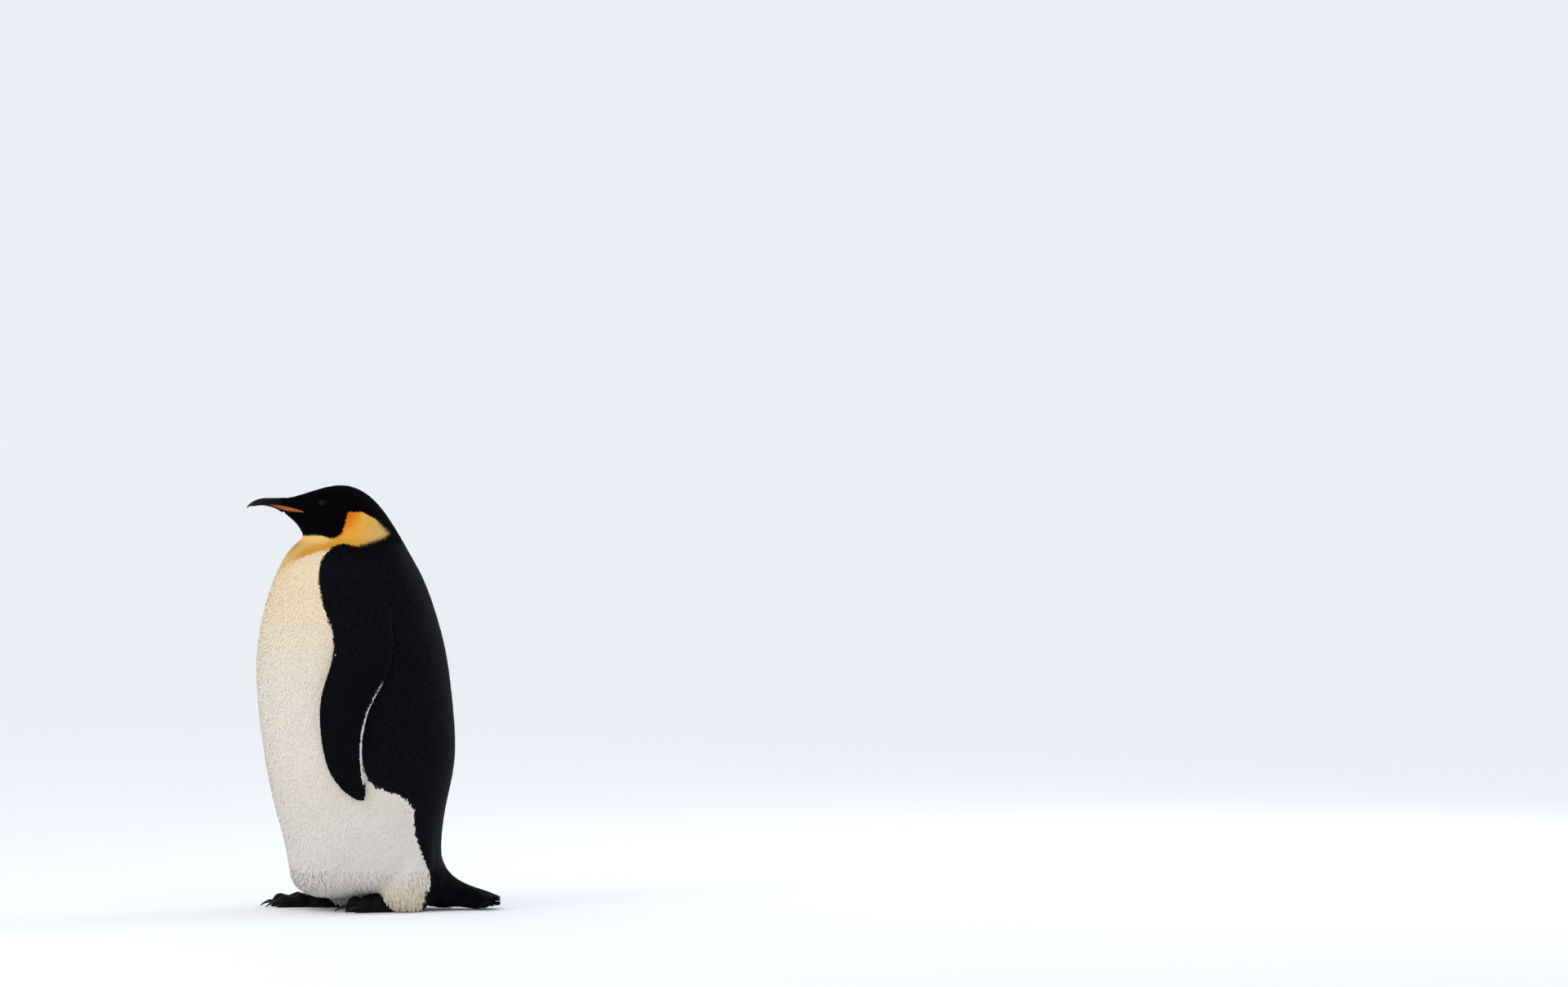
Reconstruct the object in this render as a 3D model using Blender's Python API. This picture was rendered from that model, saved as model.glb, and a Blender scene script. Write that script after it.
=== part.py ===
"""Emperor penguin, adult, life size, in a slow step: right foot forward, left foot under the body,
tail on the ground. The bird faces -Y, +X is its left side and the floor is Z = 0.

The body is one long loft from the tail tip, round under the belly, up the trunk and over the
crown to the face. It is parted into tail, trunk, neck and head by thin flat cuts. Flippers and
bill plates are blades laid against the side of the body. Legs and feet stand under it.
"""

import math
from collections import namedtuple

import bmesh
import bpy
import numpy as np
from mathutils import Matrix, Vector
from mathutils.bvhtree import BVHTree

GAP = 0.0003  # air between two pieces that meet

# ---------------------------------------------------------------- the body's sections
# A section is a flat slice across the body, seen edge-on from the side. It runs from a point of
# the front outline to a point of the back outline, both (y, z). Fullness over 0 moves its widest
# place towards the front, and under 0 towards the back. Power is 2 for an ellipse, more for a
# squarer section. The crown stands 1.00 m above the floor, with the neck drawn in.
Section = namedtuple("Section", "front back half_width fullness power")

BODY = {
    "tail tip": Section((0.2995, 0.0100), (0.3020, 0.0210), 0.014, 0.0, 2.0),
    "tail fan": Section((0.2620, 0.0010), (0.2740, 0.0420), 0.036, 0.0, 2.0),
    "tail root": Section((0.2050, 0.0030), (0.2190, 0.0650), 0.047, 0.0, 2.1),
    "vent": Section((0.1400, 0.0070), (0.1810, 0.0860), 0.068, 0.0, 2.1),
    "rump": Section((0.0700, 0.0240), (0.1590, 0.1200), 0.105, 0.0, 2.1),
    "thighs": Section((-0.0200, 0.0320), (0.1570, 0.1600), 0.138, 0.0, 2.2),
    "lower belly": Section((-0.1100, 0.0290), (0.1610, 0.2000), 0.157, 0.02, 2.3),
    "belly fold": Section((-0.1780, 0.0480), (0.1680, 0.2420), 0.168, 0.04, 2.3),
    "paunch": Section((-0.2080, 0.1250), (0.1800, 0.2950), 0.178, 0.05, 2.2),
    "belly": Section((-0.2380, 0.2420), (0.1900, 0.3550), 0.185, 0.05, 2.15),
    "flank": Section((-0.2660, 0.3850), (0.1900, 0.4320), 0.187, 0.04, 2.1),
    "midriff": Section((-0.2800, 0.5100), (0.1820, 0.5200), 0.183, 0.02, 2.1),
    "breast": Section((-0.2790, 0.6250), (0.1670, 0.6200), 0.172, 0.0, 2.1),
    "upper breast": Section((-0.2620, 0.7130), (0.1440, 0.7050), 0.152, 0.0, 2.1),
    "shoulders": Section((-0.2320, 0.8000), (0.1110, 0.7920), 0.120, -0.03, 2.1),
    "neck root": Section((-0.1930, 0.8580), (0.0740, 0.8560), 0.094, -0.06, 2.05),
    "nape": Section((-0.1670, 0.8790), (0.0400, 0.9120), 0.077, -0.08, 2.0),
    "throat": Section((-0.1720, 0.8860), (0.0040, 0.9600), 0.068, -0.08, 2.0),
    "crown": Section((-0.1790, 0.8980), (-0.0600, 0.9985), 0.059, -0.04, 2.0),
    "brow": Section((-0.1880, 0.9100), (-0.1150, 0.9955), 0.048, 0.0, 2.0),
    "lores": Section((-0.1995, 0.9205), (-0.1620, 0.9815), 0.031, 0.02, 2.0),
    "bill root": Section((-0.2160, 0.9335), (-0.2120, 0.9695), 0.013, 0.0, 2.1),
}
RING_POINTS = 32
BODY_STEP = 0.024  # from ring to ring, half way between the front and back outlines
HEAD_STEP = 0.015

# ---------------------------------------------------------------- eyes
EYE_AT = (-0.1220, 0.9580)  # (y, z) of both eyes
EYE_RADIUS = 0.0095
EYE_SHOWS = 0.0030  # how far the ball stands out of the cheek
BALL_RINGS = 8
BALL_SEGMENTS = 12

# ---------------------------------------------------------------- flippers and bill plates
# A chord is a line across a blade, from its leading to its trailing edge, both (y, z), with the
# blade's thickness there and its clearance from what it lies on.
Chord = namedtuple("Chord", "lead trail thickness clearance")

FLIPPER = {
    "shoulder top": Chord((-0.0500, 0.8080), (-0.0200, 0.8050), 0.0030, 0.0015),
    "shoulder": Chord((-0.0780, 0.7660), (0.0260, 0.7450), 0.0180, 0.0015),
    "upper arm": Chord((-0.0870, 0.7000), (0.0520, 0.6550), 0.0280, 0.0015),
    "elbow": Chord((-0.0880, 0.6350), (0.0440, 0.5800), 0.0280, 0.0020),
    "armpit": Chord((-0.0970, 0.5800), (0.0240, 0.5320), 0.0240, 0.0045),
    "wrist": Chord((-0.1170, 0.5180), (-0.0030, 0.4820), 0.0200, 0.0065),
    "palm": Chord((-0.1220, 0.4550), (-0.0160, 0.4320), 0.0160, 0.0080),
    "blade": Chord((-0.1130, 0.3800), (-0.0210, 0.3800), 0.0130, 0.0090),
    "blade end": Chord((-0.0870, 0.3150), (-0.0160, 0.3220), 0.0100, 0.0095),
    "blade foot": Chord((-0.0670, 0.2910), (-0.0125, 0.3010), 0.0080, 0.0098),
    "blade round": Chord((-0.0480, 0.2745), (-0.0120, 0.2850), 0.0065, 0.0100),
    "flipper tip": Chord((-0.0290, 0.2680), (-0.0160, 0.2715), 0.0040, 0.0100),
}
FLIPPER_STEP = 0.025
FLIPPER_POINTS = 16

BILL_PLATE = {
    "gape": Chord((-0.1640, 0.9372), (-0.1640, 0.9352), 0.0010, GAP),
    "plate root": Chord((-0.1850, 0.9432), (-0.1850, 0.9370), 0.0022, GAP),
    "plate": Chord((-0.2120, 0.9490), (-0.2120, 0.9408), 0.0026, GAP),
    "plate end": Chord((-0.2340, 0.9525), (-0.2340, 0.9478), 0.0018, GAP),
    "plate tip": Chord((-0.2470, 0.9540), (-0.2470, 0.9525), 0.0008, GAP),
}
PLATE_STEP = 0.010
PLATE_POINTS = 8
SIDE_REACH = 0.003  # a blade clears the widest of what it lies on within this distance

# ---------------------------------------------------------------- bill
# A bill section is upright: its place along Y, its lower and upper edge and its half width.
BillSection = namedtuple("BillSection", "y low high half_width")

UPPER_BILL = [
    BillSection(-0.2143, 0.9515, 0.9694, 0.0128),
    BillSection(-0.2350, 0.9548, 0.9690, 0.0105),
    BillSection(-0.2560, 0.9575, 0.9688, 0.0085),
    BillSection(-0.2720, 0.9560, 0.9668, 0.0068),
    BillSection(-0.2860, 0.9520, 0.9612, 0.0048),
    BillSection(-0.2960, 0.9478, 0.9538, 0.0028),
    BillSection(-0.3020, 0.9446, 0.9470, 0.0010),
]
LOWER_BILL = [
    BillSection(-0.2163, 0.9338, 0.9512, 0.0120),
    BillSection(-0.2350, 0.9440, 0.9545, 0.0098),
    BillSection(-0.2560, 0.9500, 0.9572, 0.0076),
    BillSection(-0.2720, 0.9508, 0.9557, 0.0056),
    BillSection(-0.2860, 0.9490, 0.9517, 0.0034),
    BillSection(-0.2910, 0.9488, 0.9500, 0.0012),
]
BILL_POINTS = 12
BILL_STEPS = 2  # rings from one bill section to the next

# ---------------------------------------------------------------- legs
Leg = namedtuple("Leg", "side x y rings")
LegRing = namedtuple("LegRing", "z half_x half_y shift_y")

LEFT_LEG = Leg(
    "left",
    0.083,
    0.068,
    [
        LegRing(0.190, 0.058, 0.074, 0.000),
        LegRing(0.120, 0.060, 0.074, 0.002),
        LegRing(0.060, 0.057, 0.066, 0.004),
        LegRing(0.022, 0.050, 0.058, 0.004),
        LegRing(0.006, 0.038, 0.046, 0.004),
    ],
)
RIGHT_LEG = Leg(
    "right",
    -0.083,
    -0.075,
    [
        LegRing(0.170, 0.056, 0.072, 0.030),
        LegRing(0.110, 0.060, 0.074, 0.020),
        LegRing(0.060, 0.056, 0.066, 0.010),
        LegRing(0.026, 0.048, 0.056, 0.002),
        LegRing(0.010, 0.036, 0.044, -0.002),
    ],
)
LEG_POINTS = 20
LEG_STEPS = 2  # rings from one leg ring to the next

# ---------------------------------------------------------------- feet
# The shank is the thick back of a foot: its half width, half length and height, and how far its
# middle lies ahead of the point that the toes spread from. Rise is a toe's height over its half
# width at the knuckles: the left foot bears the weight and bunches its toes.
Foot = namedtuple("Foot", "side x y turn rise shank shank_ahead")
LEFT_FOOT = Foot("left", 0.083, 0.060, 8.0, 1.60, (0.030, 0.062, 0.046), 0.048)
RIGHT_FOOT = Foot("right", -0.083, -0.126, -8.0, 1.35, (0.027, 0.050, 0.036), 0.004)

Toe = namedtuple("Toe", "name turn length thickness")
TOES = [
    Toe("inner", -21.0, 0.100, 0.0135),
    Toe("middle", 0.0, 0.126, 0.0145),
    Toe("outer", 20.0, 0.112, 0.0135),
]
TOE_POINTS = 10
TOE_TAPER = (1.12, 0.30)  # width at the root over the toe's thickness, and what it loses
TOE_END = 0.55  # width of the blunt end over the width just before it
TOE_LIFT = 0.75  # height of a toe's middle line over its half height
KNUCKLES = 3
KNUCKLE_STEPS = 4  # rings from one knuckle to the next
FIRST_KNUCKLE = 0.17  # share of the toe's length
KNUCKLE_SWELL = 0.11

WEB_REACH = 0.80  # share of the toes' length that the web fills
WEB_HOLLOW = 0.16  # how far its front edge curves back between two toes
WEB_THICK = 0.0090
WEB_SINK = 0.0020  # how far it starts under the floor, where it is planed off
WEB_BACK = (0.012, 0.010)  # (x, y) of its back corners
WEB_POINTS = 5  # along the edge from toe to toe

CLAW_LENGTH = 0.026
CLAW_RADIUS = 0.0052
CLAW_TAPER = 0.86
CLAW_SEAT = 0.0130  # height of the middle of its root
CLAW_DROP = 0.0110  # how far it curves down
CLAW_STEPS = 4
CLAW_POINTS = 6

FLOOR_WIDTH = 2.0  # of the block that planes a sole
FLOOR_DEPTH = 0.2

# Colour, roughness and metallic value of each material.
BLACK_FEATHER = ("black_feather", (0.016, 0.017, 0.022), 0.55, 0.0)
WHITE_FEATHER = ("white_feather", (0.78, 0.72, 0.62), 0.60, 0.0)
BLUE_BLACK_FEATHER = ("blue_black_feather", (0.022, 0.026, 0.034), 0.50, 0.0)
BLACK_HORN = ("black_horn", (0.020, 0.017, 0.017), 0.32, 0.0)
ORANGE_PLATE = ("orange_plate", (0.75, 0.30, 0.14), 0.35, 0.0)
FOOT_SKIN = ("foot_skin", (0.026, 0.025, 0.025), 0.60, 0.0)
EYE_BROWN = ("eye_brown", (0.045, 0.022, 0.012), 0.08, 0.0)


# ================================================================ objects


def clear_scene():
    for old in list(bpy.data.objects):
        bpy.data.objects.remove(old, do_unlink=True)


def collection(name):
    made = bpy.data.collections.new(name)
    bpy.context.scene.collection.children.link(made)
    return made


def material(spec):
    name, colour, roughness, metallic = spec
    found = bpy.data.materials.get(name)
    if found:
        return found
    made = bpy.data.materials.new(name)
    made.use_nodes = True
    shader = made.node_tree.nodes["Principled BSDF"]
    shader.inputs["Base Color"].default_value = (*colour, 1.0)
    shader.inputs["Roughness"].default_value = roughness
    shader.inputs["Metallic"].default_value = metallic
    made.diffuse_color = (*colour, 1.0)
    return made


def add(name, mesh, spec, where):
    """An object of this mesh. With no material it is a cutter, which no render shows."""
    made = bpy.data.objects.new(name, mesh)
    where.objects.link(made)
    if spec:
        mesh.materials.append(material(spec))
    else:
        made.hide_render = True
        made.display_type = "WIRE"
    return made


def mesh_from(bm, name):
    mesh = bpy.data.meshes.new(name)
    bm.to_mesh(mesh)
    bm.free()
    mesh.shade_smooth()
    return mesh


def boolean(target, other, operation):
    """Joins or cuts target with other for good, so that the result can be cut again."""
    modifier = target.modifiers.new(operation.lower(), "BOOLEAN")
    modifier.operation = operation
    modifier.solver = "EXACT"
    modifier.object = other
    graph = bpy.context.evaluated_depsgraph_get()
    mesh = bpy.data.meshes.new_from_object(target.evaluated_get(graph))
    target.modifiers.clear()
    target.data = mesh
    mesh.shade_smooth()


def keep_largest(target):
    """Removes the crumbs that a cut leaves beside the main body."""
    bm = bmesh.new()
    bm.from_mesh(target.data)
    left = set(bm.verts)
    bodies = []
    while left:
        front = {left.pop()}
        body = set(front)
        while front:
            front = {edge.other_vert(v) for v in front for edge in v.link_edges} - body
            body |= front
        left -= body
        bodies.append(body)
    crumbs = [v for body in sorted(bodies, key=len)[:-1] for v in body]
    bmesh.ops.delete(bm, geom=crumbs, context="VERTS")
    bm.to_mesh(target.data)
    bm.free()


def plane_off(target, cutters):
    """Cuts away what lies under the floor, which leaves a flat there."""
    bm = bmesh.new()
    bmesh.ops.create_cube(bm, size=1.0)
    bmesh.ops.scale(bm, verts=bm.verts, vec=(FLOOR_WIDTH, FLOOR_WIDTH, FLOOR_DEPTH))
    bmesh.ops.translate(bm, verts=bm.verts, vec=(0, 0, -FLOOR_DEPTH / 2))
    name = f"floor_under_{target.name}"
    boolean(target, add(name, mesh_from(bm, name), None, cutters), "DIFFERENCE")


# ================================================================ lofts


def spline(knots, values, at):
    """A natural cubic spline through values at knots, read at the places in at."""
    knots = np.asarray(knots, float)
    values = np.asarray(values, float)
    at = np.asarray(at, float)
    step = np.diff(knots)
    slope = np.diff(values, axis=0) / step[:, None]
    count = len(knots)
    equations = np.eye(count)
    wanted = np.zeros_like(values)
    for i in range(1, count - 1):
        equations[i, i - 1 : i + 2] = step[i - 1], 2 * (step[i - 1] + step[i]), step[i]
        wanted[i] = 6 * (slope[i] - slope[i - 1])
    bend = np.linalg.solve(equations, wanted)
    i = np.clip(np.searchsorted(knots, at, side="right") - 1, 0, count - 2)
    width = step[i][:, None]
    right = (at[:, None] - knots[i][:, None]) / width
    left = 1 - right
    curve = (left**3 - left) * bend[i] + (right**3 - right) * bend[i + 1]
    return left * values[i] + right * values[i + 1] + curve * width**2 / 6


def travel(points):
    """How far along a chain of points each of them lies."""
    return np.concatenate([[0], np.cumsum(np.linalg.norm(np.diff(points, axis=0), axis=1))])


def places_between(knots, steps):
    """Every knot, with the same number of steps from each to the next."""
    places = [knots[0]]
    for low, high in zip(knots, knots[1:]):
        places += list(np.linspace(low, high, steps + 1)[1:])
    return np.array(places)


def loft(name, rings):
    """A closed mesh over rings of equal length, with a flat cap at each end."""
    bm = bmesh.new()
    rows = [[bm.verts.new(point) for point in ring] for ring in rings]
    count = len(rows[0])
    for low, high in zip(rows, rows[1:]):
        for i in range(count):
            j = (i + 1) % count
            bm.faces.new((low[i], low[j], high[j], high[i]))
    bm.faces.new(reversed(rows[0]))
    bm.faces.new(rows[-1])
    bmesh.ops.recalc_face_normals(bm, faces=bm.faces)
    return mesh_from(bm, name)


# ================================================================ body


def body_ring(numbers, shift, grow):
    """One ring of the body. Shift moves it along the loft, and grow makes it larger."""
    front = Vector(numbers[0:2])
    back = Vector(numbers[2:4])
    half_width, fullness, power = numbers[4:7]
    across = (back - front) / 2
    half_depth = across.length + grow
    across.normalize()
    ahead = Vector((-across.y, across.x))
    centre = (front + back) / 2 + ahead * shift
    ring = []
    for i in range(RING_POINTS):
        angle = 2 * math.pi * i / RING_POINTS
        c = math.cos(angle)
        s = math.sin(angle)
        depth = math.copysign(abs(c) ** (2 / power), c)
        width = math.copysign(abs(s) ** (2 / power), s)
        place = centre + across * (depth * half_depth)
        x = width * (half_width + grow) * (1 - fullness * depth)
        ring.append(Vector((x, place.x, place.y)))
    return ring


def body_rings(first, last, step, grow=0.0):
    """Rings from one named section to another, half a gap short of each end that is a cut."""
    rows = np.array([(*s.front, *s.back, *s[2:]) for s in BODY.values()])
    knots = travel((rows[:, 0:2] + rows[:, 2:4]) / 2)
    names = list(BODY)
    begin = names.index(first)
    end = names.index(last)
    places = [knots[begin]]
    for low, high in zip(knots[begin:end], knots[begin + 1 : end + 1]):
        steps = max(1, round((high - low) / step))
        places += list(np.linspace(low, high, steps + 1)[1:])
    shifts = [0.0] * len(places)
    if begin > 0:
        shifts[0] = GAP / 2
    if end < len(names) - 1:
        shifts[-1] = -GAP / 2
    rows_read = spline(knots, rows, places)
    return [body_ring(row, shift, grow) for row, shift in zip(rows_read, shifts)]


def body_piece(name, first, last, step, spec, where):
    return add(name, loft(name, body_rings(first, last, step)), spec, where)


# ================================================================ flippers and bill plates


def side_finder(objects):
    """A function giving how far out, along X, the left side of these objects is near (y, z)."""
    trees = []
    for found in objects:
        points = [vertex.co.copy() for vertex in found.data.vertices]
        trees.append(BVHTree.FromPolygons(points, [tuple(p.vertices) for p in found.data.polygons]))

    def side(y, z):
        starts = [Vector((1, y + shift, z)) for shift in (-SIDE_REACH, 0, SIDE_REACH)]
        hits = [tree.ray_cast(start, Vector((-1, 0, 0)))[0] for tree in trees for start in starts]
        return max(hit.x for hit in hits if hit)

    return side


def blade(name, chords, step, points, side, mirror, spec, where):
    """A thin blade laid against the side of the body, lens-shaped across."""
    rows = np.array([(*c.lead, *c.trail, c.thickness, c.clearance) for c in chords.values()])
    knots = travel((rows[:, 0:2] + rows[:, 2:4]) / 2)
    count = max(2, round(knots[-1] / step))
    rings = []
    for numbers in spline(knots, rows, np.linspace(0, knots[-1], count + 1)):
        lead = Vector(numbers[0:2])
        trail = Vector(numbers[2:4])
        thickness = numbers[4]
        clearance = max(numbers[5], GAP)
        ring = []
        for i in range(points):
            angle = 2 * math.pi * i / points
            place = lead.lerp(trail, (1 - math.cos(angle)) / 2)
            rise = clearance + thickness * (1 + math.sin(angle)) / 2
            ring.append(Vector(((side(place.x, place.y) + rise) * mirror, place.x, place.y)))
        rings.append(ring)
    return add(name, loft(name, rings), spec, where)


# ================================================================ bill and eyes


def bill_half(name, sections, flat_low, spec, where):
    """Half a bill: round outside, flat where it meets the other half."""
    rows = np.array(sections)
    knots = -rows[:, 0]
    rings = []
    for y, low, high, half_width in spline(knots, rows, places_between(knots, BILL_STEPS)):
        ring = []
        for i in range(BILL_POINTS):
            angle = math.pi * i / (BILL_POINTS - 1)
            rise = math.sin(angle) * (high - low)
            ring.append(Vector((
                math.cos(angle) * half_width, y, low + rise if flat_low else high - rise
            )))
        rings.append(ring)
    return add(name, loft(name, rings), spec, where)


def ball(name, centre, sizes, spec, where):
    """A sphere about the X axis, stretched to its half sizes along X, Y and Z."""
    bm = bmesh.new()
    bmesh.ops.create_uvsphere(bm, u_segments=BALL_SEGMENTS, v_segments=BALL_RINGS, radius=1.0)
    bmesh.ops.rotate(bm, verts=bm.verts, matrix=Matrix.Rotation(math.pi / 2, 3, "Y"))
    bmesh.ops.scale(bm, verts=bm.verts, vec=sizes)
    bmesh.ops.translate(bm, verts=bm.verts, vec=centre)
    return add(name, mesh_from(bm, name), spec, where)


def eyes(head, side, part, cutters):
    """Two eyeballs, each in a socket cut into the head."""
    out = side(*EYE_AT) + EYE_SHOWS - EYE_RADIUS
    for name, mirror in (("left", 1), ("right", -1)):
        centre = Vector((out * mirror, *EYE_AT))
        socket = ball(f"socket_{name}", centre, [EYE_RADIUS + GAP] * 3, None, cutters)
        boolean(head, socket, "DIFFERENCE")
        ball(f"eye_{name}", centre, [EYE_RADIUS] * 3, EYE_BROWN, part)


# ================================================================ legs and feet


def leg(plan, belly_cutter, foot_cutter, part):
    """A feathered leg: a stump under the trunk, hollowed where trunk and foot fill it."""
    rows = np.array(plan.rings)
    knots = -rows[:, 0]
    rings = []
    for z, half_x, half_y, shift_y in spline(knots, rows, places_between(knots, LEG_STEPS)):
        ring = []
        for i in range(LEG_POINTS):
            angle = 2 * math.pi * i / LEG_POINTS
            x = plan.x + half_x * math.cos(angle)
            y = plan.y + shift_y + half_y * math.sin(angle)
            ring.append(Vector((x, y, z)))
        rings.append(ring)
    name = f"leg_{plan.side}"
    made = add(name, loft(name, rings), WHITE_FEATHER, part)
    boolean(made, belly_cutter, "DIFFERENCE")
    boolean(made, foot_cutter, "DIFFERENCE")
    keep_largest(made)


def toe_mesh(toe, rise, grow):
    """A toe from its root forwards, swelling at each knuckle and narrowing to a blunt end."""
    heading = Matrix.Rotation(math.radians(toe.turn), 3, "Z")
    steps = KNUCKLE_STEPS * KNUCKLES
    rings = []
    for k in range(steps + 1):
        t = k / steps
        swell = KNUCKLE_SWELL * math.cos(2 * math.pi * KNUCKLES * (t - FIRST_KNUCKLE))
        half = toe.thickness * (TOE_TAPER[0] - TOE_TAPER[1] * t) * (1 + swell) + grow
        if k == steps:
            half *= TOE_END
        height = half * rise
        ring = []
        for i in range(TOE_POINTS):
            angle = 2 * math.pi * i / TOE_POINTS
            x = half * math.cos(angle)
            z = height * (TOE_LIFT + math.sin(angle))
            ring.append(heading @ Vector((x, -toe.length * t, z)))
        rings.append(ring)
    return loft(f"toe_{toe.name}", rings)


def web_mesh(grow):
    """The web: a fan between the toes with a hollow front edge on each side of the middle toe."""
    outline = [Vector((x, WEB_BACK[1], 0)) for x in (WEB_BACK[0], -WEB_BACK[0])]
    for first, second in zip(TOES, TOES[1:]):
        for k in range(WEB_POINTS):
            t = k / (WEB_POINTS - 1)
            turn = math.radians(first.turn + (second.turn - first.turn) * t)
            reach = first.length + (second.length - first.length) * t
            reach *= WEB_REACH * (1 - WEB_HOLLOW * math.sin(math.pi * t))
            outline.append(Vector((math.sin(turn), -math.cos(turn), 0)) * reach)
    sole = [point + Vector((0, 0, -WEB_SINK)) for point in outline]
    top = [point + Vector((0, 0, WEB_THICK + grow)) for point in outline]
    return loft("web", [sole, top])


def foot_place(plan):
    turn = Matrix.Rotation(math.radians(plan.turn), 4, "Z")
    return Matrix.Translation((plan.x, plan.y, 0)) @ turn


def foot_solid(name, plan, grow, spec, where):
    """The shank, three toes and the web between them, joined in one."""
    sizes = [size + grow for size in plan.shank]
    foot = ball(name, (0, -plan.shank_ahead, 0), sizes, spec, where)
    for mesh in [toe_mesh(toe, plan.rise, grow) for toe in TOES] + [web_mesh(grow)]:
        piece = add(f"{name}_{mesh.name}", mesh, None, where)
        boolean(foot, piece, "UNION")
        bpy.data.objects.remove(piece)
    foot.data.transform(foot_place(plan))
    return foot


def claws(plan, part):
    """A curved claw in front of each toe, seated on the toe's blunt end."""
    for toe in TOES:
        heading = foot_place(plan) @ Matrix.Rotation(math.radians(toe.turn), 4, "Z")
        rings = []
        for k in range(CLAW_STEPS + 1):
            t = k / CLAW_STEPS
            radius = CLAW_RADIUS * (1 - CLAW_TAPER * t)
            y = -toe.length - GAP - CLAW_LENGTH * t
            ring = []
            for i in range(CLAW_POINTS):
                angle = 2 * math.pi * i / CLAW_POINTS
                z = CLAW_SEAT - CLAW_DROP * t * t + radius * math.sin(angle)
                ring.append(heading @ Vector((radius * math.cos(angle), y, z)))
            rings.append(ring)
        name = f"claw_{plan.side}_{toe.name}"
        add(name, loft(name, rings), BLACK_HORN, part)


# ================================================================ assembly


def build():
    clear_scene()
    part = collection("emperor_penguin")
    cutters = collection("cutters")

    tail = body_piece("tail", "tail tip", "vent", BODY_STEP, BLACK_FEATHER, part)
    plane_off(tail, cutters)
    trunk = body_piece("trunk", "vent", "shoulders", BODY_STEP, WHITE_FEATHER, part)
    neck = body_piece("neck", "shoulders", "nape", HEAD_STEP, BLUE_BLACK_FEATHER, part)
    head = body_piece("head", "nape", "bill root", HEAD_STEP, BLACK_FEATHER, part)

    upper = bill_half("bill_upper", UPPER_BILL, True, BLACK_HORN, part)
    lower = bill_half("bill_lower", LOWER_BILL, False, BLACK_HORN, part)
    body_side = side_finder([trunk, neck, head])
    face_side = side_finder([head, upper, lower])
    for name, mirror in (("left", 1), ("right", -1)):
        blade(f"flipper_{name}", FLIPPER, FLIPPER_STEP, FLIPPER_POINTS, body_side, mirror,
              BLUE_BLACK_FEATHER, part)
        blade(f"bill_plate_{name}", BILL_PLATE, PLATE_STEP, PLATE_POINTS, face_side, mirror,
              ORANGE_PLATE, part)
    eyes(head, body_side, part, cutters)

    grown_belly = loft("grown_belly", body_rings("tail root", "belly", BODY_STEP, GAP))
    belly_cutter = add("grown_belly", grown_belly, None, cutters)
    for leg_plan, foot_plan in ((LEFT_LEG, LEFT_FOOT), (RIGHT_LEG, RIGHT_FOOT)):
        foot = foot_solid(f"foot_{foot_plan.side}", foot_plan, 0.0, FOOT_SKIN, part)
        plane_off(foot, cutters)
        boolean(foot, belly_cutter, "DIFFERENCE")
        foot_cutter = foot_solid(f"grown_foot_{foot_plan.side}", foot_plan, GAP, None, cutters)
        leg(leg_plan, belly_cutter, foot_cutter, part)
        claws(foot_plan, part)


build()
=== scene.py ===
"""Emperor penguin, adult, as a still life-size model: skin, plumage, bill, eyes and feet.

The bird faces -Y, +X is its left side and the floor is Z = 0. Sizes are in metres.
"""

import math

import bmesh
import bpy
import numpy as np
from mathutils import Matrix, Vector
from mathutils.bvhtree import BVHTree
from mathutils.kdtree import KDTree


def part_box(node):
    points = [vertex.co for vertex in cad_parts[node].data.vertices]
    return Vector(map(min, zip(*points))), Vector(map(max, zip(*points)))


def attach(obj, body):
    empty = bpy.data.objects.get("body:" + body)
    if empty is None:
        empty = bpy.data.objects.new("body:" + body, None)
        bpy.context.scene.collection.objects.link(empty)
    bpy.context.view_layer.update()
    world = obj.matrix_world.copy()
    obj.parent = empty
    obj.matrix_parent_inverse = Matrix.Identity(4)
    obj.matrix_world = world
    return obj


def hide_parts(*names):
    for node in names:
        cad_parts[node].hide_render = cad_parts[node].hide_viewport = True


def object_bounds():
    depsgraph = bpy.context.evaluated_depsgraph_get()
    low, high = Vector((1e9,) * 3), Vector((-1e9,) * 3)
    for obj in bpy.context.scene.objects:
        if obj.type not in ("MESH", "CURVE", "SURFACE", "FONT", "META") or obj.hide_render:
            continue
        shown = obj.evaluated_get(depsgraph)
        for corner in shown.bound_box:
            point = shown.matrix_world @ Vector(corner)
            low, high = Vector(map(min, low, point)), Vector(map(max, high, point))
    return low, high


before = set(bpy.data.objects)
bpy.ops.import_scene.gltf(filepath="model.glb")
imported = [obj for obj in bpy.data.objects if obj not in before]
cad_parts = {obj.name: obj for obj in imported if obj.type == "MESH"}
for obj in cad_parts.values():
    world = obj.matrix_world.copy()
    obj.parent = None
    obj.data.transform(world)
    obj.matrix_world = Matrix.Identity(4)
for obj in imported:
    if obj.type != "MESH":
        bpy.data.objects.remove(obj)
cad_low, cad_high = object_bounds()


# ======================================================================== skin
# The bird's thin skin, bare only on its eyelids: one closed surface over head, neck, trunk, tail,
# legs and flippers. It is rebuilt from the CAD forms and drawn smooth, the flippers are grown into
# its sides, and it is taken in by the depth of the feathers that are rooted in it.
BODY_NODES = ["head", "neck", "trunk", "tail", "leg_left", "leg_right"]
FLIPPER_NODES = ["flipper_left", "flipper_right"]
WELD = 1e-5  # points nearer to each other than this become one
SKIN_GRAIN = 0.0046  # edge of the faces that the body is rebuilt from
HEAD_RISE = (0.80, 0.90)  # between these heights the neck turns into the head
LEG_RISE = (0.12, 0.26)  # and between these the legs and the tail into the belly
HEAD_FORM = 0.80  # how much less the head is drawn smooth than the trunk, for its finer forms
LEG_FORM = 0.75  # and how much less the legs and the tail are
CHEEK_FORM = 0.75  # and the face, just behind the bill
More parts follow.
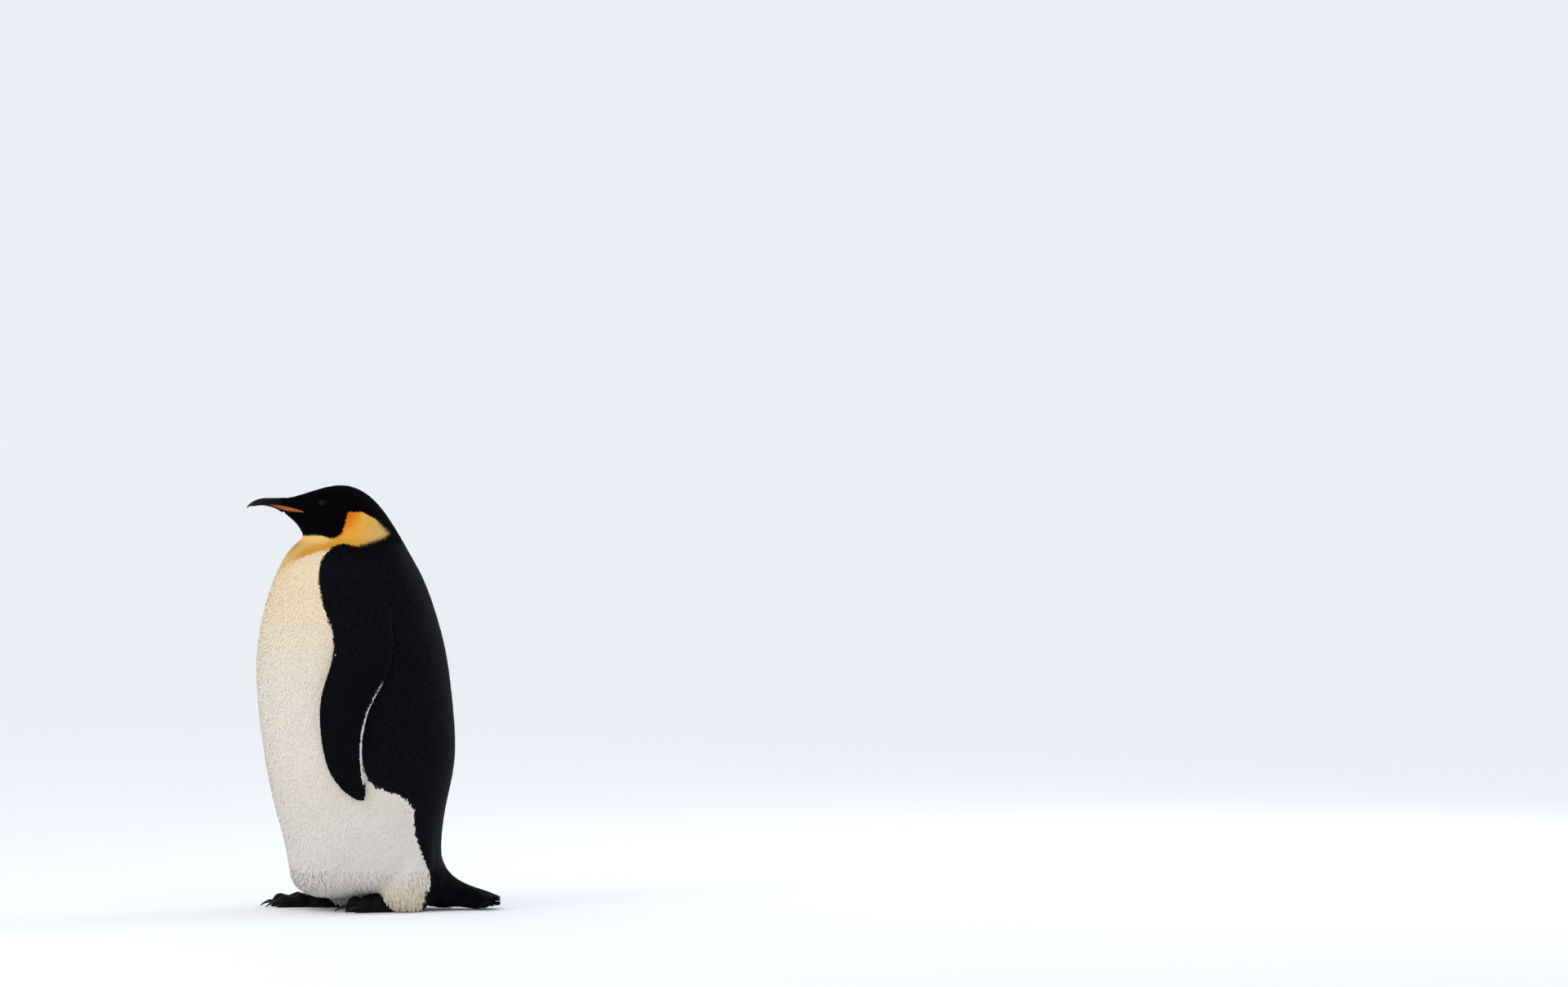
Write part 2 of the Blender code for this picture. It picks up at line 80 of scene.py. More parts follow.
ARM_HEIGHT = (0.52, 0.66)  # where the flippers begin and finish growing into the side
ARM_SINK = 0.0110  # how far they sink into it by then
ARM_TOP = (0.695, 0.780)  # where the shoulder sinks on into the side
ARM_TOP_SINK = 0.0120
SMOOTH_ROUNDS = 90  # how many times the body is drawn smooth
SOCKET_REACH = (0.0150, 0.0210)  # how far round the eyes the face is drawn smooth
SOCKET_ROUNDS = 160
SEAM_REACH = 0.050  # how far from their join the shoulder and the flipper are drawn into one
SEAM_RISE = (0.60, 0.74)  # between these heights that sets in
SEAM_ROUNDS = 90
TRUNK_COAT = 0.0028  # depth of the feathers, which the skin leaves free
HEAD_COAT = 0.0013
HEAD_COAT_RISE = (0.78, 0.90)  # between these heights the one depth turns into the other
FLIPPER_COAT = 0.0009
TAIL_COAT = 0.0042  # the tail's feathers are stouter, and more of its depth is theirs
TAIL_SOLE = 0.80  # the share of that which its underside keeps, down on the floor
TAIL_SKIN_UPTO = 0.262  # past there the skin of the tail leaves its end to the feathers
TAIL_SHORTENING = 0.60
EYE_RADIUS = 0.0110
EYE_OPENING = (0.0068, 0.0055)  # half length and half height between the lids
EYE_TILT = math.radians(-9)
EYE_SLOPE_REACH = 0.007  # how far round its middle the slope of the face is felt
EYE_DEPTH = math.sqrt(EYE_RADIUS**2 - EYE_OPENING[0] * EYE_OPENING[1])  # of its middle
EYES = {}  # for each side the middle of the eye, and its ways out, forward and up
LID_POINTS = 44
LID_RINGS = [  # (out from the opening, above the eye or the coat)
    (-0.0010, -0.0012), (-0.0003, 0.0001), (0.0001, 0.0007), (0.0006, 0.0010), (0.0011, 0.0008),
    (0.0015, 0.0002), (0.0018, 0.0001), (0.0022, 0.0003), (0.0027, -0.0001), (0.0034, -0.0014),
    (0.0042, -0.0034),
]
LID_BARE = LID_RINGS[-3][0]  # how wide their bare rim is
FACE_REACH = 0.018  # round the eyes the face wears the smallest feathers
PROBE = 0.02  # rays towards the face start this far outside it
BODY_FACE = 0  # the kinds of the skin's faces, by what they come from
FLIPPER_FACE = 1


def node_copy(names):
    """The welded mesh of some CAD nodes, joined, as a bmesh."""
    bm = bmesh.new()
    for name in names:
        bm.from_mesh(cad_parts[name].data)
    bmesh.ops.remove_doubles(bm, verts=bm.verts, dist=WELD)
    return bm


def smoothstep(low, high, value):
    """0 up to low and 1 from high on, with a smooth rise between them, or a fall if high is less."""
    t = np.clip((value - low) / (high - low), 0.0, 1.0)
    return t * t * (3 - 2 * t)


def add_object(name, data):
    made = bpy.data.objects.new(name, data)
    bpy.context.scene.collection.objects.link(made)
    return made


def mesh_of(bm, name):
    mesh = bpy.data.meshes.new(name)
    bm.to_mesh(mesh)
    bm.free()
    mesh.shade_smooth()
    return mesh


def apply_modifiers(piece):
    """Turns a piece with its modifiers into a plain mesh."""
    graph = bpy.context.evaluated_depsgraph_get()
    mesh = bpy.data.meshes.new_from_object(piece.evaluated_get(graph))
    piece.modifiers.clear()
    piece.data = mesh
    return mesh


def rebuild(piece, grain):
    """Rebuilds a piece from even small faces, which joins what touches or nearly does."""
    remesh = piece.modifiers.new("rebuild", "REMESH")
    remesh.mode = "VOXEL"
    remesh.voxel_size = grain
    remesh.use_smooth_shade = True
    return apply_modifiers(piece)


def pair_triangles(bm, flat, square):
    """Joins triangles in pairs where they are this flat and this square, to round off evenly."""
    bmesh.ops.join_triangles(bm, faces=bm.faces, angle_face_threshold=math.radians(flat),
                             angle_shape_threshold=math.radians(square))


def round_off(piece, levels):
    rounding = piece.modifiers.new("rounding", "SUBSURF")
    rounding.levels = rounding.render_levels = levels
    return apply_modifiers(piece)


def read(items, name, width=1, kind=np.float32):
    """One property of all the items of a mesh's list: a row of numbers for each, or one number."""
    values = np.empty(len(items) * width, kind)
    items.foreach_get(name, values)
    return values.reshape(-1, width) if width > 1 else values


def read_points(mesh):
    return read(mesh.vertices, "co", 3).astype(float)


def read_normals(mesh):
    return read(mesh.vertex_normals, "vector", 3).astype(float)


def write_points(mesh, points):
    mesh.vertices.foreach_set("co", points.astype(np.float32).ravel())
    mesh.update()


def smooth(mesh, share, rounds):
    """Moves each point towards its neighbours' middle, by its share, a number of times."""
    edges = read(mesh.edges, "vertices", 2, np.int32)
    ends = np.concatenate([edges, edges[:, ::-1]])
    points = read_points(mesh)
    near = np.maximum(np.bincount(ends[:, 0], minlength=len(points)), 1)
    for _ in range(rounds):
        sums = [np.bincount(ends[:, 0], points[ends[:, 1], k], len(points)) for k in range(3)]
        middle = np.stack(sums, 1) / near[:, None]
        points += (middle - points) * (0.5 * share)[:, None]
    write_points(mesh, points)


def name_faces(mesh, kind):
    """Marks a mesh's faces, so that they can be told apart once it is joined to another."""
    mesh.materials.clear()
    for label in ("body", "flipper"):
        mesh.materials.append(bpy.data.materials.get(label) or bpy.data.materials.new(label))
    mesh.polygons.foreach_set("material_index", [kind] * len(mesh.polygons))


def grown_flippers():
    """The flippers as smooth lens-shaped blades, sunk into the side towards the shoulder."""
    bm = node_copy(FLIPPER_NODES)
    pair_triangles(bm, 40, 60)
    made = add_object("flippers", mesh_of(bm, "flippers"))
    name_faces(made.data, FLIPPER_FACE)
    mesh = round_off(made, 2)
    points = read_points(mesh)
    sink = ARM_SINK * smoothstep(*ARM_HEIGHT, points[:, 2])
    sink += ARM_TOP_SINK * smoothstep(*ARM_TOP, points[:, 2])
    points[:, 0] -= np.sign(points[:, 0]) * sink
    write_points(mesh, points)
    return made


skin = add_object("skin", mesh_of(node_copy(BODY_NODES), "skin"))
rebuild(skin, SKIN_GRAIN)
_, body_y, body_z = read_points(skin.data).T
even = 1 - HEAD_FORM * smoothstep(*HEAD_RISE, body_z)
even *= 1 - LEG_FORM + LEG_FORM * smoothstep(*LEG_RISE, body_z)
even *= 1 - CHEEK_FORM * smoothstep(0.185, 0.205, -body_y) * smoothstep(0.90, 0.92, body_z)
smooth(skin.data, even, SMOOTH_ROUNDS)
for name in ("eye_left", "eye_right"):
    eye_low, eye_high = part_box(name)
    from_eye = np.linalg.norm(read_points(skin.data) - np.array((eye_low + eye_high) / 2), axis=1)
    smooth(skin.data, 1 - smoothstep(*SOCKET_REACH, from_eye), SOCKET_ROUNDS)
name_faces(skin.data, BODY_FACE)
flippers = grown_flippers()
skin_join = skin.modifiers.new("join", "BOOLEAN")
skin_join.operation = "UNION"
skin_join.solver = "MANIFOLD"
skin_join.object = flippers
apply_modifiers(skin)
bpy.data.objects.remove(flippers)


def read_kinds(mesh):
    return read(mesh.polygons, "material_index", kind=np.int32)


def point_kinds(mesh):
    """For each point of a mesh, whether a flipper's face uses it, and whether a body's does."""
    corners = read(mesh.loops, "vertex_index", kind=np.int32)
    corner_kinds = np.repeat(read_kinds(mesh), read(mesh.polygons, "loop_total", kind=np.int32))
    in_flipper = np.zeros(len(mesh.vertices), bool)
    in_body = np.zeros(len(mesh.vertices), bool)
    in_flipper[corners[corner_kinds == FLIPPER_FACE]] = True
    in_body[corners[corner_kinds == BODY_FACE]] = True
    return in_flipper, in_body


def draw_shoulders_smooth(mesh):
    """Draws the skin smooth over the shoulders, near the line where flippers and body meet."""
    in_flipper, in_body = point_kinds(mesh)
    points = read_points(mesh)
    seam = points[in_flipper & in_body]
    tree = KDTree(len(seam))
    for number, point in enumerate(seam):
        tree.insert(point, number)
    tree.balance()
    share = smoothstep(*SEAM_RISE, points[:, 2])
    for number in np.flatnonzero(share):
        share[number] *= 1 - smoothstep(0.0, SEAM_REACH, tree.find(points[number])[2])
    smooth(mesh, share, SEAM_ROUNDS)


def draw_under_coat(mesh):
    """Moves the skin inwards by the depth of the feathers that will stand on it."""
    in_flipper, in_body = point_kinds(mesh)
    points = read_points(mesh)
    normals = read_normals(mesh)
    _, y, z = points.T
    depth = TRUNK_COAT + (HEAD_COAT - TRUNK_COAT) * smoothstep(*HEAD_COAT_RISE, z)
    depth[in_flipper & ~in_body] = FLIPPER_COAT
    in_tail = smoothstep(0.15, 0.24, y) * smoothstep(0.16, 0.08, z)
    depth += TAIL_COAT * in_tail
    depth *= 1 - TAIL_SOLE * in_tail * smoothstep(0.0, -0.6, normals[:, 2])
    points -= normals * depth[:, None]
    past = np.maximum(points[:, 1] - TAIL_SKIN_UPTO, 0) * (points[:, 2] < 0.1)
    points[:, 1] -= past * TAIL_SHORTENING
    write_points(mesh, points)


def seat_eye(side, face):
    """Where an eye sits in the skin: the middle of its opening, and its ways out, forward and up."""
    low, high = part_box(f"eye_{side}")
    middle = (low + high) / 2
    inward = Vector((-math.copysign(1, middle.x), 0, 0))
    beside = Vector((0, middle.y, middle.z)) - inward
    step_y, step_z = Vector((0, EYE_SLOPE_REACH, 0)), Vector((0, 0, EYE_SLOPE_REACH))
    outward = Vector()
    for step in (Vector(), step_y, -step_y, step_z, -step_z):
        outward += face.ray_cast(beside + step, inward)[1]
    outward.normalize()
    hit = face.ray_cast(beside, inward)[0]
    level = Vector((0, -math.cos(EYE_TILT), -math.sin(EYE_TILT)))
    forward = (level - outward * level.dot(outward)).normalized()
    up = outward.cross(forward) * -inward.x
    return hit + outward * HEAD_COAT, outward, forward, up


def add_lids(mesh):
    """Puts a rolled rim of bare skin round each eye, which dips under the coat further out."""
    bm = bmesh.new()
    bm.from_mesh(mesh)
    face = BVHTree.FromBMesh(bm)
    for side in ("left", "right"):
        seat, outward, forward, up = seat_eye(side, face)
        near = [edge for edge in bm.edges if (edge.verts[0].co - seat).length < FACE_REACH]
        bmesh.ops.subdivide_edges(bm, edges=near, cuts=3, use_grid_fill=True)
        rings = []
        for out, above in LID_RINGS:
            spread = min(max(out / LID_RINGS[-1][0], 0), 1)
            ring = []
            for k in range(LID_POINTS):
                angle = 2 * math.pi * k / LID_POINTS
                across = (EYE_OPENING[0] + out) * math.cos(angle)
                along = (EYE_OPENING[1] + out) * math.sin(angle)
                place = seat + forward * across + up * along
                on_eye = math.sqrt(max(EYE_RADIUS**2 - across**2 - along**2, 0)) - EYE_DEPTH
                hit = face.ray_cast(place + outward * PROBE, -outward)[0]
                on_coat = (hit - seat).dot(outward) + HEAD_COAT
                rise = on_eye * (1 - spread) + on_coat * spread + above
                ring.append(bm.verts.new(place + outward * rise))
            rings.append(ring)
        turned = up.cross(outward).dot(forward) > 0
        for inner, outer in zip(rings, rings[1:]):
            for k in range(LID_POINTS):
                j = (k + 1) % LID_POINTS
                quad = (inner[k], outer[k], outer[j], inner[j])
                bm.faces.new(quad if turned else quad[::-1]).smooth = True
        EYES[side] = (seat - outward * EYE_DEPTH, outward, forward, up)
    bm.to_mesh(mesh)
    bm.free()


def off_eye(points, side, margin):
    """How far out each point lies from an eye, where 1 is an oval at this margin outside its lids."""
    centre, outward, forward, up = [np.array(way) for way in EYES[side]]
    from_eye = points - centre
    across = from_eye @ forward / (EYE_OPENING[0] + margin)
    along = from_eye @ up / (EYE_OPENING[1] + margin)
    return np.where(from_eye @ outward > 0, np.hypot(across, along), 99.0)


draw_shoulders_smooth(skin.data)
draw_under_coat(skin.data)
add_lids(skin.data)


# ======================================================================== markings
# The dyes of skin and feathers. An adult is black on head, back and tail and white below, with a
# gold patch behind the ear that runs under the hood onto the breast. Each edge is a chain of places
# on the side of the body, (y, z), and both sides are alike.
BLACK = (0.0012, 0.0013, 0.0020)
BLUE_TIP = (0.0088, 0.0115, 0.0175)
CREAM = (0.84, 0.685, 0.47)
BELLY_WHITE = (0.76, 0.70, 0.61)
# white of the lower belly, partly real and partly darkened by painted shade
LOW_WHITE_WITH_SHADE = (0.70, 0.665, 0.615)
STAIN = (0.64, 0.555, 0.43)
GOLD = (0.67, 0.315, 0.036)
THROAT_GOLD = (0.84, 0.545, 0.175)  # paler, close under the hood
EAR_GOLD = (0.82, 0.415, 0.056)
EAR_ORANGE = (0.76, 0.180, 0.007)
EAR_PALE = (0.66, 0.445, 0.170)
FLIPPER_WHITE = (0.62, 0.64, 0.60)
LID_SKIN = (0.0042, 0.0040, 0.0045)
BODY_EDGE = 0.0022  # how softly the black of the body ends
EDGE_LINE = 0.0042  # width of the white line along a flipper's rear edge
EDGE_LINE_ENDS = (0.306, 0.556)  # the heights between which it runs
WHITE_UPTO = 0.58  # below this height the inner side of a flipper is white
RIM = 0.0008  # the outer side's black goes on round the rim by this much
BLADE_UPTO = 0.60  # below this height the flippers are blades, clear of the shoulders
BLADE_SLICES = 90  # at so many heights a blade's rear edge is looked up
BLADE_SLICE = 0.0055  # half the height of what is looked at there

HOOD_EDGE = [
    (-0.165, 0.879), (-0.144, 0.881), (-0.121, 0.881), (-0.100, 0.875), (-0.085, 0.879),
    (-0.073, 0.889), (-0.068, 0.906), (-0.0615, 0.929), (-0.058, 0.9375),
]
EAR_EDGE = [
    (-0.026, 0.936), (0.005, 0.919), (0.0335, 0.8865), (0.025, 0.878), (-0.031, 0.8585),
    (-0.048, 0.8585),
]
SHOULDER_EDGE = [
    (-0.050, 0.8615), (-0.071, 0.8646), (-0.090, 0.860), (-0.105, 0.847), (-0.119, 0.831),
    (-0.125, 0.811), (-0.127, 0.779), (-0.121, 0.748), (-0.1135, 0.714), (-0.102, 0.687),
    (-0.092, 0.663), (-0.0865, 0.613),
]
THIGH_EDGE = [
    (-0.0125, 0.323), (0.007, 0.300), (0.035, 0.288), (0.058, 0.283), (0.081, 0.267),
    (0.097, 0.244), (0.098, 0.215), (0.102, 0.171), (0.121, 0.121), (0.131, 0.092),
    (0.135, 0.067), (0.123, 0.040), (0.116, 0.017), (0.116, -0.100),
]
OUTSIDE = [(-0.400, -0.100), (-0.400, 0.879)]  # which closes the outline, clear of the bird
LIGHT_OUTLINE = OUTSIDE + HOOD_EDGE + EAR_EDGE + SHOULDER_EDGE + THIGH_EDGE
OVER_FLOOR = 0.012  # what is lower than this has the colours of this height
GOLD_LIMIT = [  # below this line the breast turns cream
    (-0.270, 0.798), (-0.235, 0.802), (-0.212, 0.808), (-0.198, 0.814), (-0.182, 0.823),
    (-0.160, 0.834), (-0.135, 0.843), (-0.1115, 0.8475), (-0.090, 0.853), (-0.050, 0.8555),
]


def distance_to(chain, y, z):
    """Distance of each point to a chain of straight edges, seen from the side."""
    best = np.full(len(y), 9.0)
    for (ay, az), (by, bz) in zip(chain, chain[1:]):
        along_y, along_z = by - ay, bz - az
        share = ((y - ay) * along_y + (z - az) * along_z) / (along_y**2 + along_z**2)
        share = np.clip(share, 0, 1)
        best = np.minimum(best, np.hypot(y - ay - share * along_y, z - az - share * along_z))
    return best


def depth_inside(outline, y, z):
    """How deep each point lies inside a closed outline, and under 0 outside it."""
    inside = np.zeros(len(y), bool)
    for (ay, az), (by, bz) in zip(outline, outline[1:] + outline[:1]):
        if az != bz:
            crosses = (az > z) != (bz > z)
            inside ^= crosses & (y < ay + (z - az) * (by - ay) / (bz - az))
    return np.where(inside, 1, -1) * distance_to(outline + outline[:1], y, z)


def mix(first, second, share):
    """Two colours, or lists of them, mixed by how much of the second each place has."""
    share = np.asarray(share)[:, None]
    return np.asarray(first) * (1 - share) + np.asarray(second) * share


def light_colour(y, z):
    """The colour of the light feathers: cream to white, gold on the breast and behind the ear."""
    # White, creamier up the breast, greyer low down where the white is partly darkened by painted shade,
    # and stained at the bottom of the front.
    colour = mix(BELLY_WHITE, CREAM, smoothstep(0.48, 0.80, z))
    colour = mix(LOW_WHITE_WITH_SHADE, colour, smoothstep(0.10, 0.42, z))
    colour = mix(STAIN, colour, 1 - (1 - smoothstep(0.02, 0.10, z)) * smoothstep(-0.02, 0.03, y))
    # Gold above the limit, paler on the throat and brighter behind the ear.
    above = z - np.interp(y, *np.transpose(GOLD_LIMIT))
    softness = 0.0035 + 0.030 * smoothstep(-0.172, -0.215, y)
    ear = smoothstep(-0.115, -0.085, y)
    gold = smoothstep(-1, 1, above / softness)
    dye = mix(GOLD, THROAT_GOLD, smoothstep(0.006, 0.030, above) * (1 - ear))
    dye = mix(dye, THROAT_GOLD, 0.8 * smoothstep(-0.160, -0.200, y))
    dye = mix(dye, EAR_GOLD, ear * smoothstep(0.862, 0.890, z))
    dye = mix(dye, EAR_PALE, 0.85 * ear * smoothstep(-0.040, 0.022, y - 0.3 * (z - 0.9)))
    colour = mix(colour, dye, np.maximum(gold, ear * smoothstep(-0.004, 0.0, above)))
    # Orange in a thin rim under the edge of the hood, and in a glow behind it.
    from_hood = distance_to(HOOD_EDGE[2:], y, z)
    rim = (1 - smoothstep(0.001, 0.007, from_hood)) * 0.85
    glow = (1 - smoothstep(0.003, 0.042, from_hood)) * smoothstep(0.872, 0.920, z)
    return mix(colour, EAR_ORANGE, np.maximum(rim * smoothstep(-0.098, -0.085, y), glow) * ear)


def body_paint(points, chance=None):
    """(colour, how black) of the body at each point. With a chance for each, edges are ragged."""
    y, z = points[:, 1], np.maximum(points[:, 2], OVER_FLOOR)
    blur = 0.0018 + 0.0063 * smoothstep(-0.050, -0.010, y) * (1 - smoothstep(0.895, 0.925, z))
    depth = depth_inside(LIGHT_OUTLINE, y, z)
    light = smoothstep(-1, 1, depth / np.where(z > 0.845, blur, BODY_EDGE))
    if chance is not None:
        ragged = 0.8 * smoothstep(0.66, 0.56, z)
        light = light * (1 - ragged) + (light > chance) * ragged
    return mix(BLACK, light_colour(y, z), light), 1 - light


def blade_terms(points):
    """What the surface half way through a flipper's thickness is made of."""
    y, z = points[:, 1], points[:, 2]
    return np.stack([np.ones(len(y)), y, z, y * y, y * z, z * z, z**3], 1)


def rear_edge(z):
    """How far back a flipper reaches at each height."""
    return np.interp(z, EDGE_HEIGHTS, EDGE_REACH)


def flipper_paint(points):
    """(colour, how black) of a flipper: black outside, white inside and along its rear edge."""
    y, z = points[:, 1], points[:, 2]
    width = EDGE_LINE * smoothstep(EDGE_LINE_ENDS[1], EDGE_LINE_ENDS[1] - 0.02, z)
    line = (rear_edge(z) - y < width) & (z > EDGE_LINE_ENDS[0]) & (z < EDGE_LINE_ENDS[1])
    middle = blade_terms(points) @ BLADE_MIDDLE - RIM - 0.004 * smoothstep(0.48, 0.56, z)
    inside = (abs(points[:, 0]) < middle) & (z < WHITE_UPTO)
    light = np.maximum(line, inside).astype(float)
    return mix(BLACK, FLIPPER_WHITE, light), 1 - light


def write_colour(mesh, colours):
    """Writes the plumage colours, in place of those that a coat inherits from the skin."""
    inherited = mesh.color_attributes.get("plumage")
    if inherited:
        mesh.color_attributes.remove(inherited)
    layer = mesh.color_attributes.new("plumage", "FLOAT_COLOR", "POINT")
    rows = np.concatenate([colours, np.ones((len(colours), 1))], axis=1)
    layer.data.foreach_set("color", rows.astype(np.float32).ravel())


def write_numbers(mesh, name, numbers):
    layer = mesh.attributes.new(name, "FLOAT", "POINT")
    layer.data.foreach_set("value", numbers.astype(np.float32))


def feed(tree, node, inputs):
    """Gives each input of a node its value, or links it to the output that it is given."""
    for place, given in inputs.items():
        if isinstance(given, bpy.types.NodeSocket):
            tree.links.new(given, node.inputs[place])
        else:
            node.inputs[place].default_value = given


def add_node(tree, kind, inputs=None, **settings):
    """Adds a node to a tree and returns its outputs."""
    node = tree.nodes.new(kind)
    for name, value in settings.items():
        setattr(node, name, value)
    feed(tree, node, inputs or {})
    return node.outputs


def new_material(name, inputs):
    """A Principled material with these inputs, its node tree and its shader."""
    made = bpy.data.materials.new(name)
    made.use_nodes = True
    shader = made.node_tree.nodes["Principled BSDF"]
    feed(made.node_tree, shader, inputs)
    return made, made.node_tree, shader


def object_place(tree):
    return add_node(tree, "ShaderNodeTexCoord")["Object"]


def attribute(tree, name):
    return add_node(tree, "ShaderNodeAttribute", attribute_name=name)


def remap(tree, value, old=(0.0, 1.0), new=(0.0, 1.0)):
    """A value carried from one range to another."""
    ends = {"From Min": old[0], "From Max": old[1], "To Min": new[0], "To Max": new[1]}
    return add_node(tree, "ShaderNodeMapRange", {"Value": value, **ends})["Result"]


def mixed(tree, first, second, share, blend="MIX"):
    """Two colours mixed, by the sockets that the node keeps for colours."""
    return add_node(tree, "ShaderNodeMix", {0: share, 6: first, 7: second},
                    data_type="RGBA", blend_type=blend)[2]


def bump(tree, height, strength, distance, invert=False):
    ridges = {"Height": height, "Strength": strength, "Distance": distance}
    return add_node(tree, "ShaderNodeBump", ridges, invert=invert)["Normal"]


def dress(piece, worn):
    """Gives a piece one material, in place of any that it has."""
    piece.data.materials.clear()
    piece.data.materials.append(worn)


def skin_material():
    """Dull, finely pitted skin in the plumage colours, a little shinier where it is bare."""
    made, tree, shader = new_material("bird_skin", {"Specular IOR Level": 0.05})
    pores = add_node(tree, "ShaderNodeTexVoronoi", {"Vector": object_place(tree), "Scale": 320.0})
    dusk = remap(tree, pores["Distance"], new=(0.84, 1.0))
    bare = attribute(tree, "bare")["Fac"]
    feed(tree, shader, {
        "Base Color": mixed(tree, attribute(tree, "plumage")["Color"], dusk, 1.0, "MULTIPLY"),
        "Roughness": remap(tree, bare, new=(0.90, 0.38)),
        "Normal": bump(tree, pores["Distance"], 0.4, 0.0006),
    })
    return made


skin_points = read_points(skin.data)
skin_normals = read_normals(skin.data)
on_flipper, on_body = point_kinds(skin.data)
skin_kinds = read_kinds(skin.data)
flipper_points = skin_points[on_flipper & ~on_body]
flipper_z = flipper_points[:, 2]
EDGE_HEIGHTS = np.linspace(flipper_z.min(), flipper_z.max(), BLADE_SLICES)
EDGE_REACH = [flipper_points[abs(flipper_z - z) < BLADE_SLICE, 1].max() for z in EDGE_HEIGHTS]
blades = flipper_points[flipper_z < BLADE_UPTO]
BLADE_MIDDLE = np.linalg.lstsq(blade_terms(blades), abs(blades[:, 0]), rcond=None)[0]
skin_colours, _ = body_paint(skin_points)
skin_colours[on_flipper & ~on_body] = flipper_paint(flipper_points)[0]
on_lids = np.zeros(len(skin_points), bool)
for side in EYES:
    on_lids |= off_eye(skin_points, side, LID_BARE) < 1
skin_colours[on_lids] = LID_SKIN
write_colour(skin.data, skin_colours)
write_numbers(skin.data, "bare", on_lids)
dress(skin, skin_material())
skin.data.polygons.foreach_set("material_index", [0] * len(skin_kinds))
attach(skin, "root")
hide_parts(*BODY_NODES, *FLIPPER_NODES)


# ======================================================================== lie of the feathers
# Feathers grow away from the bill over the head, down the neck and body, and back along the tail.
# Their way, their length and where they grow are written on the skin. So are its zones, each of
# which is feathered as a piece of its own.
UPPER_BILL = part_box("bill_upper")
BILL_ROOT = Vector((0.0, UPPER_BILL[1].y, UPPER_BILL[0].z + 0.012))
BILL_CLEAR = 0.90  # the face, where the bill comes out of it, is above this height
TRUNK_ZONES = [  # (zone in front, zone behind, height that they go down to)
    ("breast", "mantle", 0.560), ("belly", "back", 0.330), ("abdomen", "rump", 0.110),
]
ZONES = ["face", "head", "neck", "breast", "mantle", "belly", "back", "abdomen", "rump", "skirt",
         "tail", "flipper_left", "flipper_right"]
HEAD_FROM = 0.866  # heights from which the zones of head and neck begin
NECK_FROM = 0.790
SKIRT_UPTO = TRUNK_ZONES[-1][2]
MIDDLE_Y = -0.048  # between the front and the rear of the trunk
TAIL_FROM = 0.158
TAIL_TIP = (0.325, 0.0090)  # (y, z) of the place that its feathers run towards
TAIL_CLOSING = 0.018  # how much higher those of its underside run, which closes its end
TAIL_FLATTENING = 0.12  # how much of its thickness is left there
TAIL_ROOTS_UPTO = 0.255
TAIL_ROOTS_LEAST = 0.215  # and at the sides at least up to there
TAIL_ROUNDING = 15.0  # how much sooner its feathers end off the middle, which rounds the fan
TAIL_LENGTH = 0.046
TAIL_SPREAD = 5.0  # how much its feathers fan out, for each metre off the middle
LEG_FORWARD = 0.27  # how far the lowest feathers of the left leg hang forwards, over its foot
DOWNWARD_SLANT = 0.30  # how far back feathers point, for each unit down
LENGTH_HEIGHTS = [0.03, 0.10, 0.16, 0.45, 0.78, 0.86, 0.90]
LENGTHS = [0.0200, 0.0165, 0.0145, 0.0138, 0.0128, 0.0092, 0.0068]  # of body feathers, at those
FLIPPER_LENGTH = 0.0062
SCALES_UPTO = 0.630  # above this height the flippers wear the feathers of the body
SCALES_BLEND = 0.05  # half the height over which their lengths change
SCALES_RAGGED = 0.03  # and half that over which the two coats run into each other
LID_WIDTH = 0.0017  # no feather is rooted nearer to the opening of the lids than this
LID_CLEAR = 0.0009  # and none reaches nearer
dice = np.random.default_rng(7)  # every random draw that isn't a tree's own


def tail_share(points):
    """How far each place belongs to the tail."""
    return smoothstep(0.11, 0.19, points[:, 1]) * smoothstep(0.24, 0.12, points[:, 2])


def lie_of(points):
    """The way that feathers point at each place. Its length doesn't matter."""
    from_bill = points - np.array(BILL_ROOT)
    from_bill /= np.linalg.norm(from_bill, axis=1)[:, None]
    on_left = smoothstep(-0.01, 0.02, points[:, 0])
    back = DOWNWARD_SLANT - LEG_FORWARD * smoothstep(0.085, 0.045, points[:, 2]) * on_left
    down = np.stack([back * 0, back, back * 0 - 1], 1)
    share = smoothstep(0.82, 0.90, points[:, 2])[:, None]
    lie = from_bill * share + down * (1 - share)
    y, z = points[:, 1], points[:, 2]
    share = tail_share(points)[:, None]
    closing = TAIL_CLOSING * smoothstep(0.014, 0.006, z) * smoothstep(0.195, 0.235, y)
    end_z = TAIL_TIP[1] + TAIL_FLATTENING * z + closing
    to_tip = TAIL_TIP[0] - y
    along_tail = np.stack([points[:, 0] * TAIL_SPREAD * to_tip, to_tip, end_z - z], 1)
    along_tail /= np.linalg.norm(along_tail, axis=1)[:, None]
    return lie * (1 - share) + along_tail * share


def outward_of(points, normals):
    """Which way feathers face: as the skin does, but on the tail squarer to their lie."""
    way = lie_of(points)
    way /= np.linalg.norm(way, axis=1)[:, None]
    square = tail_share(points) * smoothstep(0.200, 0.245, points[:, 1])
    at_end = square * smoothstep(0.6, 0.9, (normals * way).sum(axis=1))
    facing = normals + np.array((0, 0, 1)) * at_end[:, None]
    return facing - way * ((facing * way).sum(axis=1) * square)[:, None]


def from_lids(points, side):
    """How far each point is from the middle of the opening between the lids of an eye."""
    centre, outward, _, _ = EYES[side]
    return np.linalg.norm(points - np.array(centre + outward * EYE_DEPTH), axis=1)


